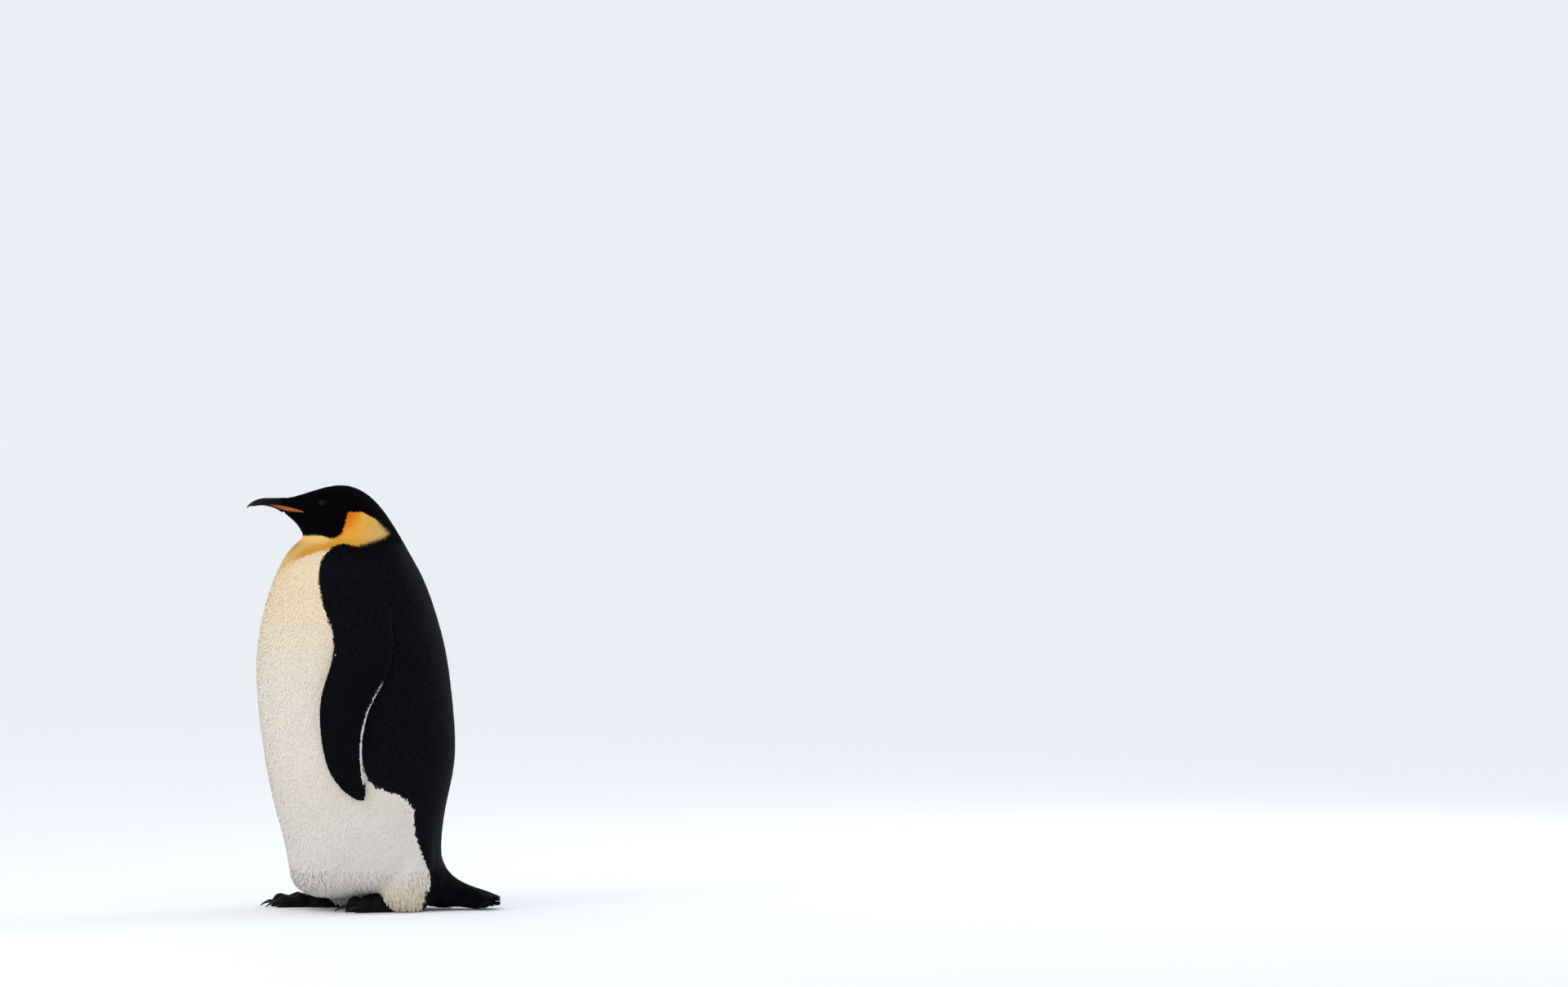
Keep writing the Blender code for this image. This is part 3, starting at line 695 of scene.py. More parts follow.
def zone_faces(mesh):
    """Writes the number of each face's zone, from its middle."""
    middles = read(mesh.polygons, "center", 3)
    x, y, z = middles.T
    front = y < MIDDLE_Y
    zone = np.zeros(len(z), np.int32)
    for in_front, behind, lowest in TRUNK_ZONES[::-1]:
        numbers = np.where(front, ZONES.index(in_front), ZONES.index(behind))
        zone = np.where(z > lowest, numbers, zone)
    zone[(z < SKIRT_UPTO) & (y < TAIL_FROM)] = ZONES.index("skirt")
    zone[(z < SKIRT_UPTO) & (y >= TAIL_FROM)] = ZONES.index("tail")
    zone[z > NECK_FROM] = ZONES.index("neck")
    zone[z > HEAD_FROM] = ZONES.index("head")
    for side in EYES:
        zone[from_lids(middles, side) < FACE_REACH - 0.002] = ZONES.index("face")
    ragged = dice.uniform(-SCALES_RAGGED, SCALES_RAGGED, len(z))
    scaled = (skin_kinds == FLIPPER_FACE) & (z < SCALES_UPTO + ragged)
    zone[scaled & (x > 0)] = ZONES.index("flipper_left")
    zone[scaled & (x < 0)] = ZONES.index("flipper_right")
    write_zone(mesh, zone)


def write_zone(mesh, numbers):
    layer = mesh.attributes.new("zone", "INT", "FACE")
    layer.data.foreach_set("value", numbers.astype(np.int32))


def write_vectors(mesh, name, vectors):
    layer = mesh.attributes.new(name, "FLOAT_VECTOR", "POINT")
    layer.data.foreach_set("vector", vectors.astype(np.float32).ravel())


def under_plate(points):
    """Whether each point lies under one of the plates at the sides of the bill."""
    plate = read_points(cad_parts["bill_plate_left"].data)
    places = np.unique(plate[:, 1].round(4))
    low = [plate[abs(plate[:, 1] - y) < 0.0012, 2].min() for y in places]
    high = [plate[abs(plate[:, 1] - y) < 0.0012, 2].max() for y in places]
    y, z = points[:, 1], points[:, 2]
    between = (z > np.interp(y, places, low)) & (z < np.interp(y, places, high))
    return between & (y > places[0]) & (y < places[-1] - 0.006)


def length_of(points):
    """How long the feathers are: short on the face, longer down the body, longest on the tail."""
    y, z = points[:, 1], points[:, 2]
    length = np.interp(z, LENGTH_HEIGHTS, LENGTHS)
    from_bill = np.linalg.norm(points - np.array(BILL_ROOT), axis=1)
    length *= 0.55 + 0.45 * smoothstep(0.012, 0.055, from_bill)
    for side in EYES:
        length *= 0.46 + 0.54 * smoothstep(0.009, 0.022, from_lids(points, side))
    tail = smoothstep(0.165, 0.245, y) * smoothstep(0.14, 0.07, z)
    length = length * (1 - tail) + (TAIL_LENGTH - 1.1 * np.maximum(y - 0.250, 0)) * tail
    scales = smoothstep(SCALES_UPTO + SCALES_BLEND, SCALES_UPTO - SCALES_BLEND, z)
    on_arm = (on_flipper & ~on_body) * scales
    return length * (1 - on_arm) + FLIPPER_LENGTH * on_arm


def grown_share(points):
    """1 where feathers grow, 0 on the lids, where the bill comes out and past the tail's roots."""
    share = np.ones(len(points))
    way = lie_of(points)
    tips = points + way / np.linalg.norm(way, axis=1)[:, None] * length_of(points)[:, None]
    for side in EYES:
        share[off_eye(points, side, LID_WIDTH) < 1] = 0
        share[off_eye(tips, side, LID_CLEAR) < 1] = 0
    share[(points[:, 1] < BILL_ROOT.y + 0.0005) & (points[:, 2] > BILL_CLEAR)] = 0
    share[under_plate(points)] = 0
    tail_end = np.maximum(TAIL_ROOTS_UPTO - TAIL_ROUNDING * points[:, 0] ** 2, TAIL_ROOTS_LEAST)
    past_tail = (points[:, 1] > tail_end) & (points[:, 2] < SKIRT_UPTO)
    share[past_tail & (skin_normals[:, 1] < 0.6)] = 0
    return share


zone_faces(skin.data)
write_vectors(skin.data, "lie", lie_of(skin_points))
write_vectors(skin.data, "outward", outward_of(skin_points, skin_normals))
write_numbers(skin.data, "grows", grown_share(skin_points))
write_numbers(skin.data, "length", length_of(skin_points))


# ======================================================================== feathers
# A contour feather is a narrow horny vane, roofed along its shaft, that rises from the skin and
# bends back to it at the tip. Each is planted on its zone along the lie, overlaps the next two or
# three, and is dyed by the markings.
FEATHER_ROWS = [(0.30, 0.42, 0.32), (0.70, 0.46, 0.74)]  # (along, half width, height)
FEATHER_END = (0.97, 0.20, 0.84)  # the same of its blunt tip
FEATHER_ROOT = -0.45  # how deep it is rooted in the skin
RIDGE = 0.08  # the shaft's height over the vane's middle
CUP = 0.15  # how far its edges hang under that
STRAY = [(-0.5, -0.35, -1.0), (0.5, 0.10, 1.0)]  # how a disorderly feather turns, least and most
CROWDING = 4.5  # roots tried on each square of the spacing, of which some are too near others
TIP_FROM = (0.62, 0.95)  # along a vane, where the dye of its tip sets in and is full
MAP_MARGIN = 0.01
HALF_WIDEST = math.radians(215)  # the turn that fits on the map of half the trunk
PATCH = 0.003  # size of a feather's patch on its map
FLOOR_CLEARANCE = 0.0006  # no feather hangs lower than this


def feather_template(name, rows=FEATHER_ROWS, end=FEATHER_END):
    """One feather, 1 long, 1 wide and 1 high: a closed vane with a sharp rim and a blunt end."""
    bm = bmesh.new()
    root = bm.verts.new((0, 0, FEATHER_ROOT))
    rings = []
    for along, half, height in rows:
        rings.append([
            bm.verts.new((along, half, height - CUP)),
            bm.verts.new((along, 0, height + RIDGE)),
            bm.verts.new((along, -half, height - CUP)),
        ])
    left, right = [bm.verts.new((end[0], half, end[2])) for half in (end[1], -end[1])]
    for i in range(3):
        j = (i + 1) % 3
        bm.faces.new((root, rings[0][j], rings[0][i]))
        for low, high in zip(rings, rings[1:]):
            bm.faces.new((low[i], low[j], high[j], high[i]))
    last = rings[-1]
    bm.faces.new((last[0], last[1], left))
    bm.faces.new((last[1], right, left))
    bm.faces.new((last[1], last[2], right))
    bm.faces.new((last[2], last[0], left, right))
    bmesh.ops.recalc_face_normals(bm, faces=bm.faces)
    vane = bm.loops.layers.uv.new("vane")
    for face in bm.faces:
        for loop in face.loops:
            loop[vane].uv = (0.5 + loop.vert.co.y, loop.vert.co.x)
    for edge in bm.edges:
        edge.smooth = all(v.co.y == 0 for v in edge.verts)
    made = add_object(name, mesh_of(bm, name))
    made.hide_render = True
    return made


def coat_tree():
    """Feathers planted on one zone of the skin, along its lie."""
    tree = bpy.data.node_groups.new("feathering", "GeometryNodeTree")
    tree.interface.new_socket("Skin", in_out="INPUT", socket_type="NodeSocketGeometry")
    tree.interface.new_socket("Feathers", in_out="OUTPUT", socket_type="NodeSocketGeometry")
    for kind, names in (
        ("Object", ["Feather"]), ("Int", ["Zone", "Seed"]), ("Material", ["Material"]),
        ("Float", ["Spacing", "Crowding", "Width", "Rise", "Variation", "Disorder"]),
    ):
        for name in names:
            tree.interface.new_socket(name, in_out="INPUT", socket_type=f"NodeSocket{kind}")
    given = add_node(tree, "NodeGroupInput")

    def named(name, kind):
        return add_node(tree, "GeometryNodeInputNamedAttribute", {"Name": name}, data_type=kind)[0]

    def scaled(vector, size):
        return add_node(tree, "ShaderNodeVectorMath", {0: vector, "Scale": size}, operation="SCALE")[0]

    def calculated(operation, first, second):
        return add_node(tree, "ShaderNodeMath", {0: first, 1: second}, operation=operation)[0]

    chosen = add_node(tree, "FunctionNodeCompare", {2: named("zone", "INT"), 3: given["Zone"]},
                      data_type="INT", operation="EQUAL")["Result"]
    roots = add_node(tree, "GeometryNodeDistributePointsOnFaces", {
        "Mesh": given["Skin"], "Selection": chosen, "Distance Min": given["Spacing"],
        "Density Max": given["Crowding"], "Density Factor": named("grows", "FLOAT"),
        "Seed": given["Seed"],
    }, distribute_method="POISSON")["Points"]
    facing = add_node(tree, "FunctionNodeAxesToRotation", {
        "Primary Axis": named("outward", "FLOAT_VECTOR"), "Secondary Axis": named("lie", "FLOAT_VECTOR"),
    }, primary_axis="Z", secondary_axis="X")["Rotation"]
    least, most = [scaled(limit, given["Disorder"]) for limit in STRAY]
    stray = add_node(tree, "FunctionNodeRandomValue", {0: least, 1: most, "Seed": given["Seed"]},
                     data_type="FLOAT_VECTOR")[0]
    turn = add_node(tree, "FunctionNodeEulerToRotation", {"Euler": stray})["Rotation"]
    turned = add_node(tree, "FunctionNodeRotateRotation", {"Rotation": facing, "Rotate By": turn},
                      rotation_space="LOCAL")["Rotation"]
    shortest = calculated("SUBTRACT", 1.0, given["Variation"])
    longest = calculated("ADD", 1.0, given["Variation"])
    growth = add_node(tree, "FunctionNodeRandomValue", {2: shortest, 3: longest, "Seed": given["Seed"]},
                      data_type="FLOAT")[1]
    size = add_node(tree, "ShaderNodeCombineXYZ", {"X": 1.0, "Y": given["Width"], "Z": given["Rise"]})
    planted = add_node(tree, "GeometryNodeInstanceOnPoints", {
        "Points": roots, "Rotation": turned,
        "Instance": add_node(tree, "GeometryNodeObjectInfo", {"Object": given["Feather"]},
                             transform_space="ORIGINAL")["Geometry"],
        "Scale": scaled(size["Vector"], calculated("MULTIPLY", growth, named("length", "FLOAT"))),
    })["Instances"]
    real = add_node(tree, "GeometryNodeRealizeInstances", {"Geometry": planted})["Geometry"]
    dyed = {"Geometry": real, "Material": given["Material"]}
    add_node(tree, "NodeGroupOutput", {"Feathers": add_node(tree, "GeometryNodeSetMaterial", dyed)[0]})
    return tree


def set_inputs(modifier, values):
    """Sets a modifier's inputs by the identifiers of their sockets."""
    for item in modifier.node_group.interface.items_tree:
        if item.item_type == "SOCKET" and item.in_out == "INPUT" and item.name in values:
            modifier[item.identifier] = values[item.name]


def noise(tree, place, scale, detail=2.0):
    looks = {"Vector": place, "Scale": scale, "Detail": detail}
    return add_node(tree, "ShaderNodeTexNoise", looks)["Fac"]


def feather_material(name, roughness, specular, barbs):
    """Dyed by the plumage colours, with barbs along the vane and a faint unevenness."""
    made, tree, shader = new_material(name, {"Roughness": roughness, "Specular IOR Level": specular})
    cloud = noise(tree, object_place(tree), 26.0, 5.0)
    uneven = remap(tree, cloud, (0.30, 0.70), (0.965, 1.02))
    vane = add_node(tree, "ShaderNodeUVMap", uv_map="vane")["UV"]
    rows = {"Vector": vane, "Scale": barbs, "Distortion": 1.5}
    ridges = add_node(tree, "ShaderNodeTexWave", rows, bands_direction="DIAGONAL")["Fac"]
    feed(tree, shader, {
        "Base Color": mixed(tree, attribute(tree, "plumage")["Color"], uneven, 1.0, "MULTIPLY"),
        "Normal": bump(tree, ridges, 0.22, 0.0002),
    })
    return made


def map_half(facing, low, high):
    """Unwraps half the trunk round its upright middle line. It faces forwards at 1, or back at -1."""

    def place(roots):
        turn = np.arctan2(roots[:, 0], (MIDDLE_Y - roots[:, 1]) * facing)
        return np.stack([0.5 + turn / HALF_WIDEST, (roots[:, 2] - low) / (high - low)], 1)
    return place


def map_round(centre, pole, widest):
    """Unwraps a rounded end of the body, seen from a centre inside it, about its pole.

    The widest turn off the pole, in degrees, reaches the edge of the map.
    """
    pole = np.asarray(pole, float)
    side = np.array((1.0, 0.0, 0.0))
    other = np.cross(pole, side)

    def place(roots):
        out = roots - np.asarray(centre)
        out /= np.linalg.norm(out, axis=1)[:, None]
        angle = np.arccos(np.clip(out @ pole, -1, 1))
        reach = 0.5 * np.sin(angle / 2) / math.sin(math.radians(widest) / 2)
        turn = np.arctan2(out @ other, out @ side)
        return 0.5 + np.stack([np.cos(turn), np.sin(turn)], 1) * reach[:, None]
    return place


class Plumes:
    """What is read from a feathered mesh: each feather's root, its way up and its points."""

    def __init__(self, mesh, template):
        self.size = len(template.data.vertices)
        points = read_points(mesh)
        self.count = len(points) // self.size
        grid = points.reshape(self.count, self.size, 3)
        self.roots = grid[:, 0]
        tips = grid[:, -1] + grid[:, -2]
        self.shown = self.roots * 0.35 + tips * 0.325  # the middle of what isn't overlapped
        up = grid[:, 2] - (grid[:, 1] + grid[:, 3]) / 2
        self.up = up / np.linalg.norm(up, axis=1)[:, None]
        self.along = read_points(template.data)[:, 0]


def write_map(mesh, plumes, template, unwrap):
    """The OFBake map: each feather is a small patch at its root's place on the unwrapped skin."""
    patch = (read(template.data.uv_layers["vane"].data, "uv", 2) - 0.5) * PATCH
    where = MAP_MARGIN + (1 - 2 * MAP_MARGIN) * np.clip(unwrap(plumes.roots), 0, 1)
    corners = where[:, None, :] + patch[None, :, :]
    layer = mesh.uv_layers.new(name="OFBake")
    layer.data.foreach_set("uv", corners.astype(np.float32).ravel())


def soften(mesh, plumes, share):
    """Turns the shading of each feather part of the way to the skin's, as soft vanes blend."""
    normals = read_normals(mesh)
    outward = np.repeat(plumes.up, plumes.size, axis=0)
    normals = normals * (1 - share) + outward * share
    normals /= np.linalg.norm(normals, axis=1)[:, None]
    mesh.normals_split_custom_set_from_vertices(normals.astype(np.float32))


def keep_above(mesh, lowest):
    """Lifts what hangs lower than a height up to it."""
    points = read_points(mesh)
    points[:, 2] = np.maximum(points[:, 2], lowest)
    write_points(mesh, points)


FEATHERING = coat_tree()


def feather_zone(name, zone, template, material, unwrap, paint, spacing, width, rise, seed,
                 variation=0.14, disorder=0.11, softness=0.85, ground=None):
    """Feathers one zone of the skin, or of another ground, dyes each feather and maps it.

    Roots are at least the spacing apart. Width and rise are shares of a feather's length, and
    lengths vary by the variation. Disorder turns feathers out of their lie, in radians.
    """
    piece = add_object(name, ground or skin.data)
    planting = piece.modifiers.new("feathering", "NODES")
    planting.node_group = FEATHERING
    set_inputs(planting, {
        "Feather": template, "Zone": ZONES.index(zone), "Spacing": spacing,
        "Crowding": CROWDING / spacing**2, "Width": width, "Rise": rise,
        "Variation": variation, "Disorder": disorder, "Material": material, "Seed": seed,
    })
    mesh = apply_modifiers(piece)
    keep_above(mesh, FLOOR_CLEARANCE)
    plumes = Plumes(mesh, template)
    soften(mesh, plumes, softness)
    write_map(mesh, plumes, template, unwrap)
    base, tip = paint(plumes)
    share = smoothstep(*TIP_FROM, plumes.along)[None, :, None]
    colours = base[:, None, :] * (1 - share) + tip[:, None, :] * share
    write_colour(mesh, colours.reshape(-1, 3))
    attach(piece, "root")


def body_feathers(stray):
    """Paint for body feathers: those at an edge stray over it, and black ones have blue tips."""

    def paint(plumes):
        places = plumes.shown + dice.normal(0, stray, plumes.roots.shape)
        base, black = body_paint(places, dice.uniform(0, 1, plumes.count))
        tone = dice.uniform(0.95, 1.03, plumes.count)[:, None]
        blue = black * smoothstep(0.90, 0.80, places[:, 2]) * dice.uniform(0.2, 1.0, plumes.count)
        return base * tone, np.where(black[:, None] > 0.5, mix(BLACK, BLUE_TIP, blue), base * tone)
    return paint


contour_feather = feather_template("contour_feather")
velvet = feather_material("velvet_feather", roughness=0.72, specular=0.016, barbs=6.0)
feathered = feather_material("contour_feather", roughness=0.60, specular=0.030, barbs=9.0)
scaly = feather_material("scale_feather", roughness=0.55, specular=0.042, barbs=6.0)


# ======================================================================== coat of the head and neck
# The black hood and throat wear the shortest feathers, dense as velvet. They lengthen down the
# neck, which is gold in front and blue-black behind. Their maps unwrap the skin about the crown.
HOOD_MAP = map_round((0, -0.10, 0.90), (0, 0, 1), 118)
NECK_MAP = map_round((0, -0.07, 0.90), (0, 0, 1), 160)
feather_zone("coat_face", "face", contour_feather, velvet, HOOD_MAP,
             body_feathers(0.0003), spacing=0.0012, width=0.52, rise=0.17, seed=10)
feather_zone("coat_head", "head", contour_feather, velvet, HOOD_MAP,
             body_feathers(0.0006), spacing=0.0020, width=0.45, rise=0.16, seed=11)
feather_zone("coat_neck", "neck", contour_feather, feathered, NECK_MAP,
             body_feathers(0.0010), spacing=0.0024, width=0.38, rise=0.155, seed=12)


# ======================================================================== coat of the trunk
# Stiff, overlapping contour feathers make the smooth coat of the trunk, white in front and
# blue-black behind. They are rooted in three rings of the skin, each with a front and a rear half.
highest = NECK_FROM
seed = 13
for in_front, behind, lowest in TRUNK_ZONES:
    for zone, facing, slot in ((in_front, 1, "white_feather"), (behind, -1, "blue_black_feather")):
        feather_zone(f"coat_{zone}", zone, contour_feather, feathered,
                     map_half(facing, lowest, highest), body_feathers(0.0009),
                     spacing=0.0029, width=0.37, rise=0.145, seed=seed)
        seed += 1
    highest = lowest


# ======================================================================== skirt of the legs
# Under the belly and round the legs the feathers are long, soft and loose, and hang down over the
# feet. They are rooted in the lowest skin of the trunk and in that of the legs.
SKIRT_MAP = map_round((0, -0.02, 0.20), (0, 0, -1), 110)
feather_zone("coat_skirt", "skirt", contour_feather, feathered, SKIRT_MAP,
             body_feathers(0.0022), spacing=0.0030, width=0.27, rise=0.16, seed=17,
             variation=0.28, disorder=0.32)


# ======================================================================== flipper feathers
# A flipper wears tiny stiff feathers like scales, black outside and white inside. They lie flat on
# its skin, down the blade, and run into the feathers of the body at the shoulder.
FLIPPER_LOW, FLIPPER_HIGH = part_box("flipper_left")
FLIPPER_MARGIN = 0.02  # beside each side on the map
FLIPPER_HALF = 0.46  # how wide each side is there


def map_flipper(roots):
    """Unwraps a flipper into its outer and its inner side, next to each other."""
    across = (roots[:, 1] - FLIPPER_LOW.y) / (FLIPPER_HIGH.y - FLIPPER_LOW.y)
    along = (roots[:, 2] - FLIPPER_LOW.z) / (FLIPPER_HIGH.z - FLIPPER_LOW.z)
    inner = abs(roots[:, 0]) < blade_terms(roots) @ BLADE_MIDDLE
    return np.stack([FLIPPER_MARGIN + FLIPPER_HALF * across + 0.5 * inner, along], 1)


def flipper_feathers(plumes):
    """Paint for flipper feathers: each has one dye, and black ones have blue tips."""
    places = plumes.roots.copy()
    places[:, 1] = plumes.shown[:, 1]
    base, black = flipper_paint(places)
    blue = black * dice.uniform(0.1, 0.8, plumes.count)
    return base, np.where(black[:, None] > 0.5, mix(BLACK, BLUE_TIP, blue), base)


for side, seed in (("left", 21), ("right", 22)):
    feather_zone(f"coat_flipper_{side}", f"flipper_{side}", contour_feather,
                 scaly, map_flipper, flipper_feathers, spacing=0.0024, width=0.50, rise=0.16,
                 seed=seed, disorder=0.08)


# ======================================================================== tail
# The tail is a short wedge of stiff, narrow feathers, laid over each other down to the floor. They
# are rooted in the tail's skin and round its end, and close it above and below.
TAIL_ROWS = [(0.25, 0.40, 0.30), (0.60, 0.46, 0.62), (0.88, 0.36, 0.80)]  # as a contour feather's
TAIL_END = (1.0, 0.08, 0.86)
tail_feather = feather_template("tail_feather", TAIL_ROWS, TAIL_END)
TAIL_MAP = map_round((0, 0.10, 0.09), (0, 1, 0), 130)
feather_zone("coat_tail", "tail", tail_feather, feathered, TAIL_MAP,
             body_feathers(0.0015), spacing=0.0036, width=0.15, rise=0.058, seed=18,
             variation=0.09, disorder=0.07, softness=0.3)


# ======================================================================== bill
# The bill is two sheaths of black horn, browner towards the tip, with a slit of a nostril on each
# side of the upper one. They are the CAD forms rounded off and carried on into the face, and the
# feathers of the face run out over their root.
BILL_SEAT = 0.012  # how far it goes on into the face
BILL_NARROWING = 0.08  # and how much narrower it gets there
NOSTRIL = (-0.2290, 0.9640, 0.0075)  # (y, z) of its middle, and its half length
NOSTRIL_DEPTH = 0.0011
NOSTRIL_WIDTH = 0.0009
NOSTRIL_LIP = (0.0021, 0.00025)  # how far off its rim rises, and how high
BILL_BITE = 0.0009  # how far the lower sheath goes up into the upper one
ROOT_SINK = 0.0001  # the feathers are rooted this deep in the horn
ROOT_WEDGE = (0.9655, 0.0045)  # height and half height of the feathered wedge on its side
ROOT_REACH = (0.0035, 0.008)  # how far they reach forward, and how much further in that wedge
ROOT_LENGTH = 0.0052
ROOT_UNDER = 0.013  # how far back these feathers go on, under those of the head


def smooth_copy(name, node, levels, keep_angle):
    """A rounded copy of a CAD node. Edges bent by more than the angle stay crisp."""
    bm = node_copy([node])
    pair_triangles(bm, 30, 70)
    crease = bm.edges.layers.float.new("crease_edge")
    for edge in bm.edges:
        if edge.is_manifold and edge.calc_face_angle() > math.radians(keep_angle):
            edge[crease] = 1.0
    made = add_object(name, mesh_of(bm, name))
    round_off(made, levels)
    return made


def ramp(tree, factor, stops):
    """A colour picked by a factor between stops, each a place and a colour."""
    made = tree.nodes.new("ShaderNodeValToRGB")
    for place, colour in stops[2:]:
        made.color_ramp.elements.new(place)
    for element, (place, colour) in zip(made.color_ramp.elements, stops):
        element.position = place
        element.color = (*colour, 1.0)
    feed(tree, made, {"Fac": factor})
    return made.outputs["Color"]


def one_axis(tree, place, axis):
    return add_node(tree, "ShaderNodeSeparateXYZ", {"Vector": place})[axis]


def streaks(tree, place, scale, detail):
    """Noise drawn out lengthwise."""
    drawn = add_node(tree, "ShaderNodeMapping", {"Vector": place, "Scale": scale})["Vector"]
    return noise(tree, drawn, 1.0, detail)


def bill_material():
    """Black horn with a fine lengthwise grain, browner towards the tip."""
    made, tree, shader = new_material("bill_horn", {"Specular IOR Level": 0.065})
    place = object_place(tree)
    to_tip = remap(tree, one_axis(tree, place, "Y"), (-0.215, cad_low.y))
    grain = streaks(tree, place, (900.0, 60.0, 900.0), 4.0)
    feed(tree, shader, {
        "Base Color": ramp(tree, to_tip, [
            (0.0, (0.0014, 0.0012, 0.0018)), (0.50, (0.0060, 0.0045, 0.0050)),
            (0.82, (0.0150, 0.0095, 0.0085)), (1.0, (0.0330, 0.0220, 0.0180)),
        ]),
        "Roughness": remap(tree, grain, new=(0.26, 0.46)),
        "Normal": bump(tree, grain, 0.25, 0.0002),
    })
    return made


def seat_root(mesh, seat, narrowing, axis=None):
    """Carries the root of a piece on into what it grows from, narrowing it towards an axis."""
    points = read_points(mesh)
    root = points[:, 1].max()
    share = smoothstep(root - 0.0012, root - 0.0002, points[:, 1])
    taper = narrowing * smoothstep(root - 0.005, root - 0.0002, points[:, 1])
    points[:, 1] += share * seat
    middle = (points.min(axis=0) + points.max(axis=0)) / 2
    points[:, 0] += (middle[0] - points[:, 0]) * taper
    if axis is not None:
        points[:, 2] += (axis - points[:, 2]) * taper
    write_points(mesh, points)


def cut_nostrils(mesh):
    """Presses a slit with a faint rim into each side of the upper bill."""
    points = read_points(mesh)
    y, z, half = NOSTRIL
    along = np.clip((points[:, 1] - y) / half, -1, 1)
    off = np.hypot(points[:, 1] - y - along * half, points[:, 2] - z - 0.0006 * along)
    slit = np.exp(-((off / NOSTRIL_WIDTH) ** 2))
    lip = np.exp(-(((off - NOSTRIL_LIP[0]) / NOSTRIL_WIDTH) ** 2))
    points[:, 0] -= np.sign(points[:, 0]) * (slit * NOSTRIL_DEPTH - lip * NOSTRIL_LIP[1])
    write_points(mesh, points)


def close_bill(mesh):
    """Raises the lower bill's edge into the upper one, so that no light passes between."""
    points = read_points(mesh)
    points[:, 2] += BILL_BITE * smoothstep(0.3, 0.9, read_normals(mesh)[:, 2])
    write_points(mesh, points)


bill_horn = bill_material()
sheaths = []
for half in ("upper", "lower"):
    sheath = smooth_copy(f"bill_{half}_sheath", f"bill_{half}", 3, 45)
    if half == "upper":
        cut_nostrils(sheath.data)
    else:
        close_bill(sheath.data)
    seat_root(sheath.data, BILL_SEAT, BILL_NARROWING, BILL_ROOT.z)
    dress(sheath, bill_horn)
    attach(sheath, "root")
    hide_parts(f"bill_{half}")
    sheaths.append(sheath)


def bill_root_ground():
    """The root of both sheaths, over which the feathers of the face run out."""
    bm = bmesh.new()
    for sheath in sheaths:
        bm.from_mesh(sheath.data)
    bmesh.ops.triangulate(bm, faces=bm.faces)
    mesh = mesh_of(bm, "bill_root_ground")
    points = read_points(mesh)
    normals = read_normals(mesh)
    write_points(mesh, points - normals * ROOT_SINK)
    y, z = points[:, 1], points[:, 2]
    side = np.exp(-(((z - ROOT_WEDGE[0]) / ROOT_WEDGE[1]) ** 2))
    chin = smoothstep(BILL_ROOT.z - 0.002, BILL_ROOT.z - 0.008, z)
    reach = ROOT_REACH[0] + ROOT_REACH[1] * np.maximum(side, chin) * (abs(normals[:, 2]) < 0.95)
    grows = (y > BILL_ROOT.y - reach) & (y < BILL_ROOT.y + ROOT_UNDER) & ~under_plate(points)
    grows &= normals[:, 1] < 0.95  # not on the hidden ends of the sheaths
    round_bill = normals.copy()
    round_bill[:, 1] = np.minimum(normals[:, 1], 0)
    round_bill /= np.maximum(np.linalg.norm(round_bill, axis=1), 0.001)[:, None]
    spread = [normals[:, 0] * 0.2, np.ones(len(y)), (z - BILL_ROOT.z) * 20]
    write_vectors(mesh, "lie", np.stack(spread, 1))
    write_vectors(mesh, "outward", round_bill)
    write_numbers(mesh, "grows", grows)
    from_front = y - BILL_ROOT.y + reach
    write_numbers(mesh, "length", ROOT_LENGTH * (0.45 + 0.55 * smoothstep(0.0, 0.006, from_front)))
    write_zone(mesh, np.full(len(mesh.polygons), ZONES.index("head")))
    return mesh


feather_zone("coat_bill_root", "head", contour_feather, velvet, HOOD_MAP,
             body_feathers(0.0), spacing=0.0011, width=0.40, rise=0.20, seed=24,
             ground=bill_root_ground())


# ======================================================================== bill plates
# A smooth plate of salmon-coloured horn lies along each side of the lower bill, duller at its front
# end. It is bedded on the jaw, and its rear end lies among the feathers of the cheek.
PLATE_PROUD = 0.0026  # how far its outside stands out from the jaw
PLATE_WIDER = 0.30  # how much wider it gets half way along
PLATE_PLACES = 25  # at so many places along it the jaw is felt for
PLATE_BEND = (0.25, 0.5, 0.25)  # each place's depth is evened with those of its neighbours
JAW = []  # what it lies on, the skin and the lower sheath
for jaw_piece in (skin, sheaths[1]):
    jaw_points = [point.co for point in jaw_piece.data.vertices]
    jaw_faces = [face.vertices for face in jaw_piece.data.polygons]
    JAW.append(BVHTree.FromPolygons(jaw_points, jaw_faces))


def plate_material():
    """Salmon horn with a lengthwise grain, brown at the front end."""
    made, tree, shader = new_material("bill_plate", {"Roughness": 0.36, "Specular IOR Level": 0.13})
    place = object_place(tree)
    grain = streaks(tree, place, (400.0, 45.0, 400.0), 3.0)
    dye = ramp(tree, grain, [(0.30, (0.27, 0.056, 0.011)), (0.72, (0.41, 0.108, 0.024))])
    to_front = remap(tree, one_axis(tree, place, "Y"), (-0.228, -0.246))
    feed(tree, shader, {"Base Color": mixed(tree, dye, (0.075, 0.040, 0.015, 1.0), to_front)})
    return made


def surface_beside(side, y, z):
    """How far from the middle the jaw's skin or horn lies at a height, on one side."""
    hits = [tree.ray_cast(Vector((side * 0.2, y, z)), Vector((-side, 0, 0)))[0] for tree in JAW]
    return max(abs(hit.x) for hit in hits if hit)


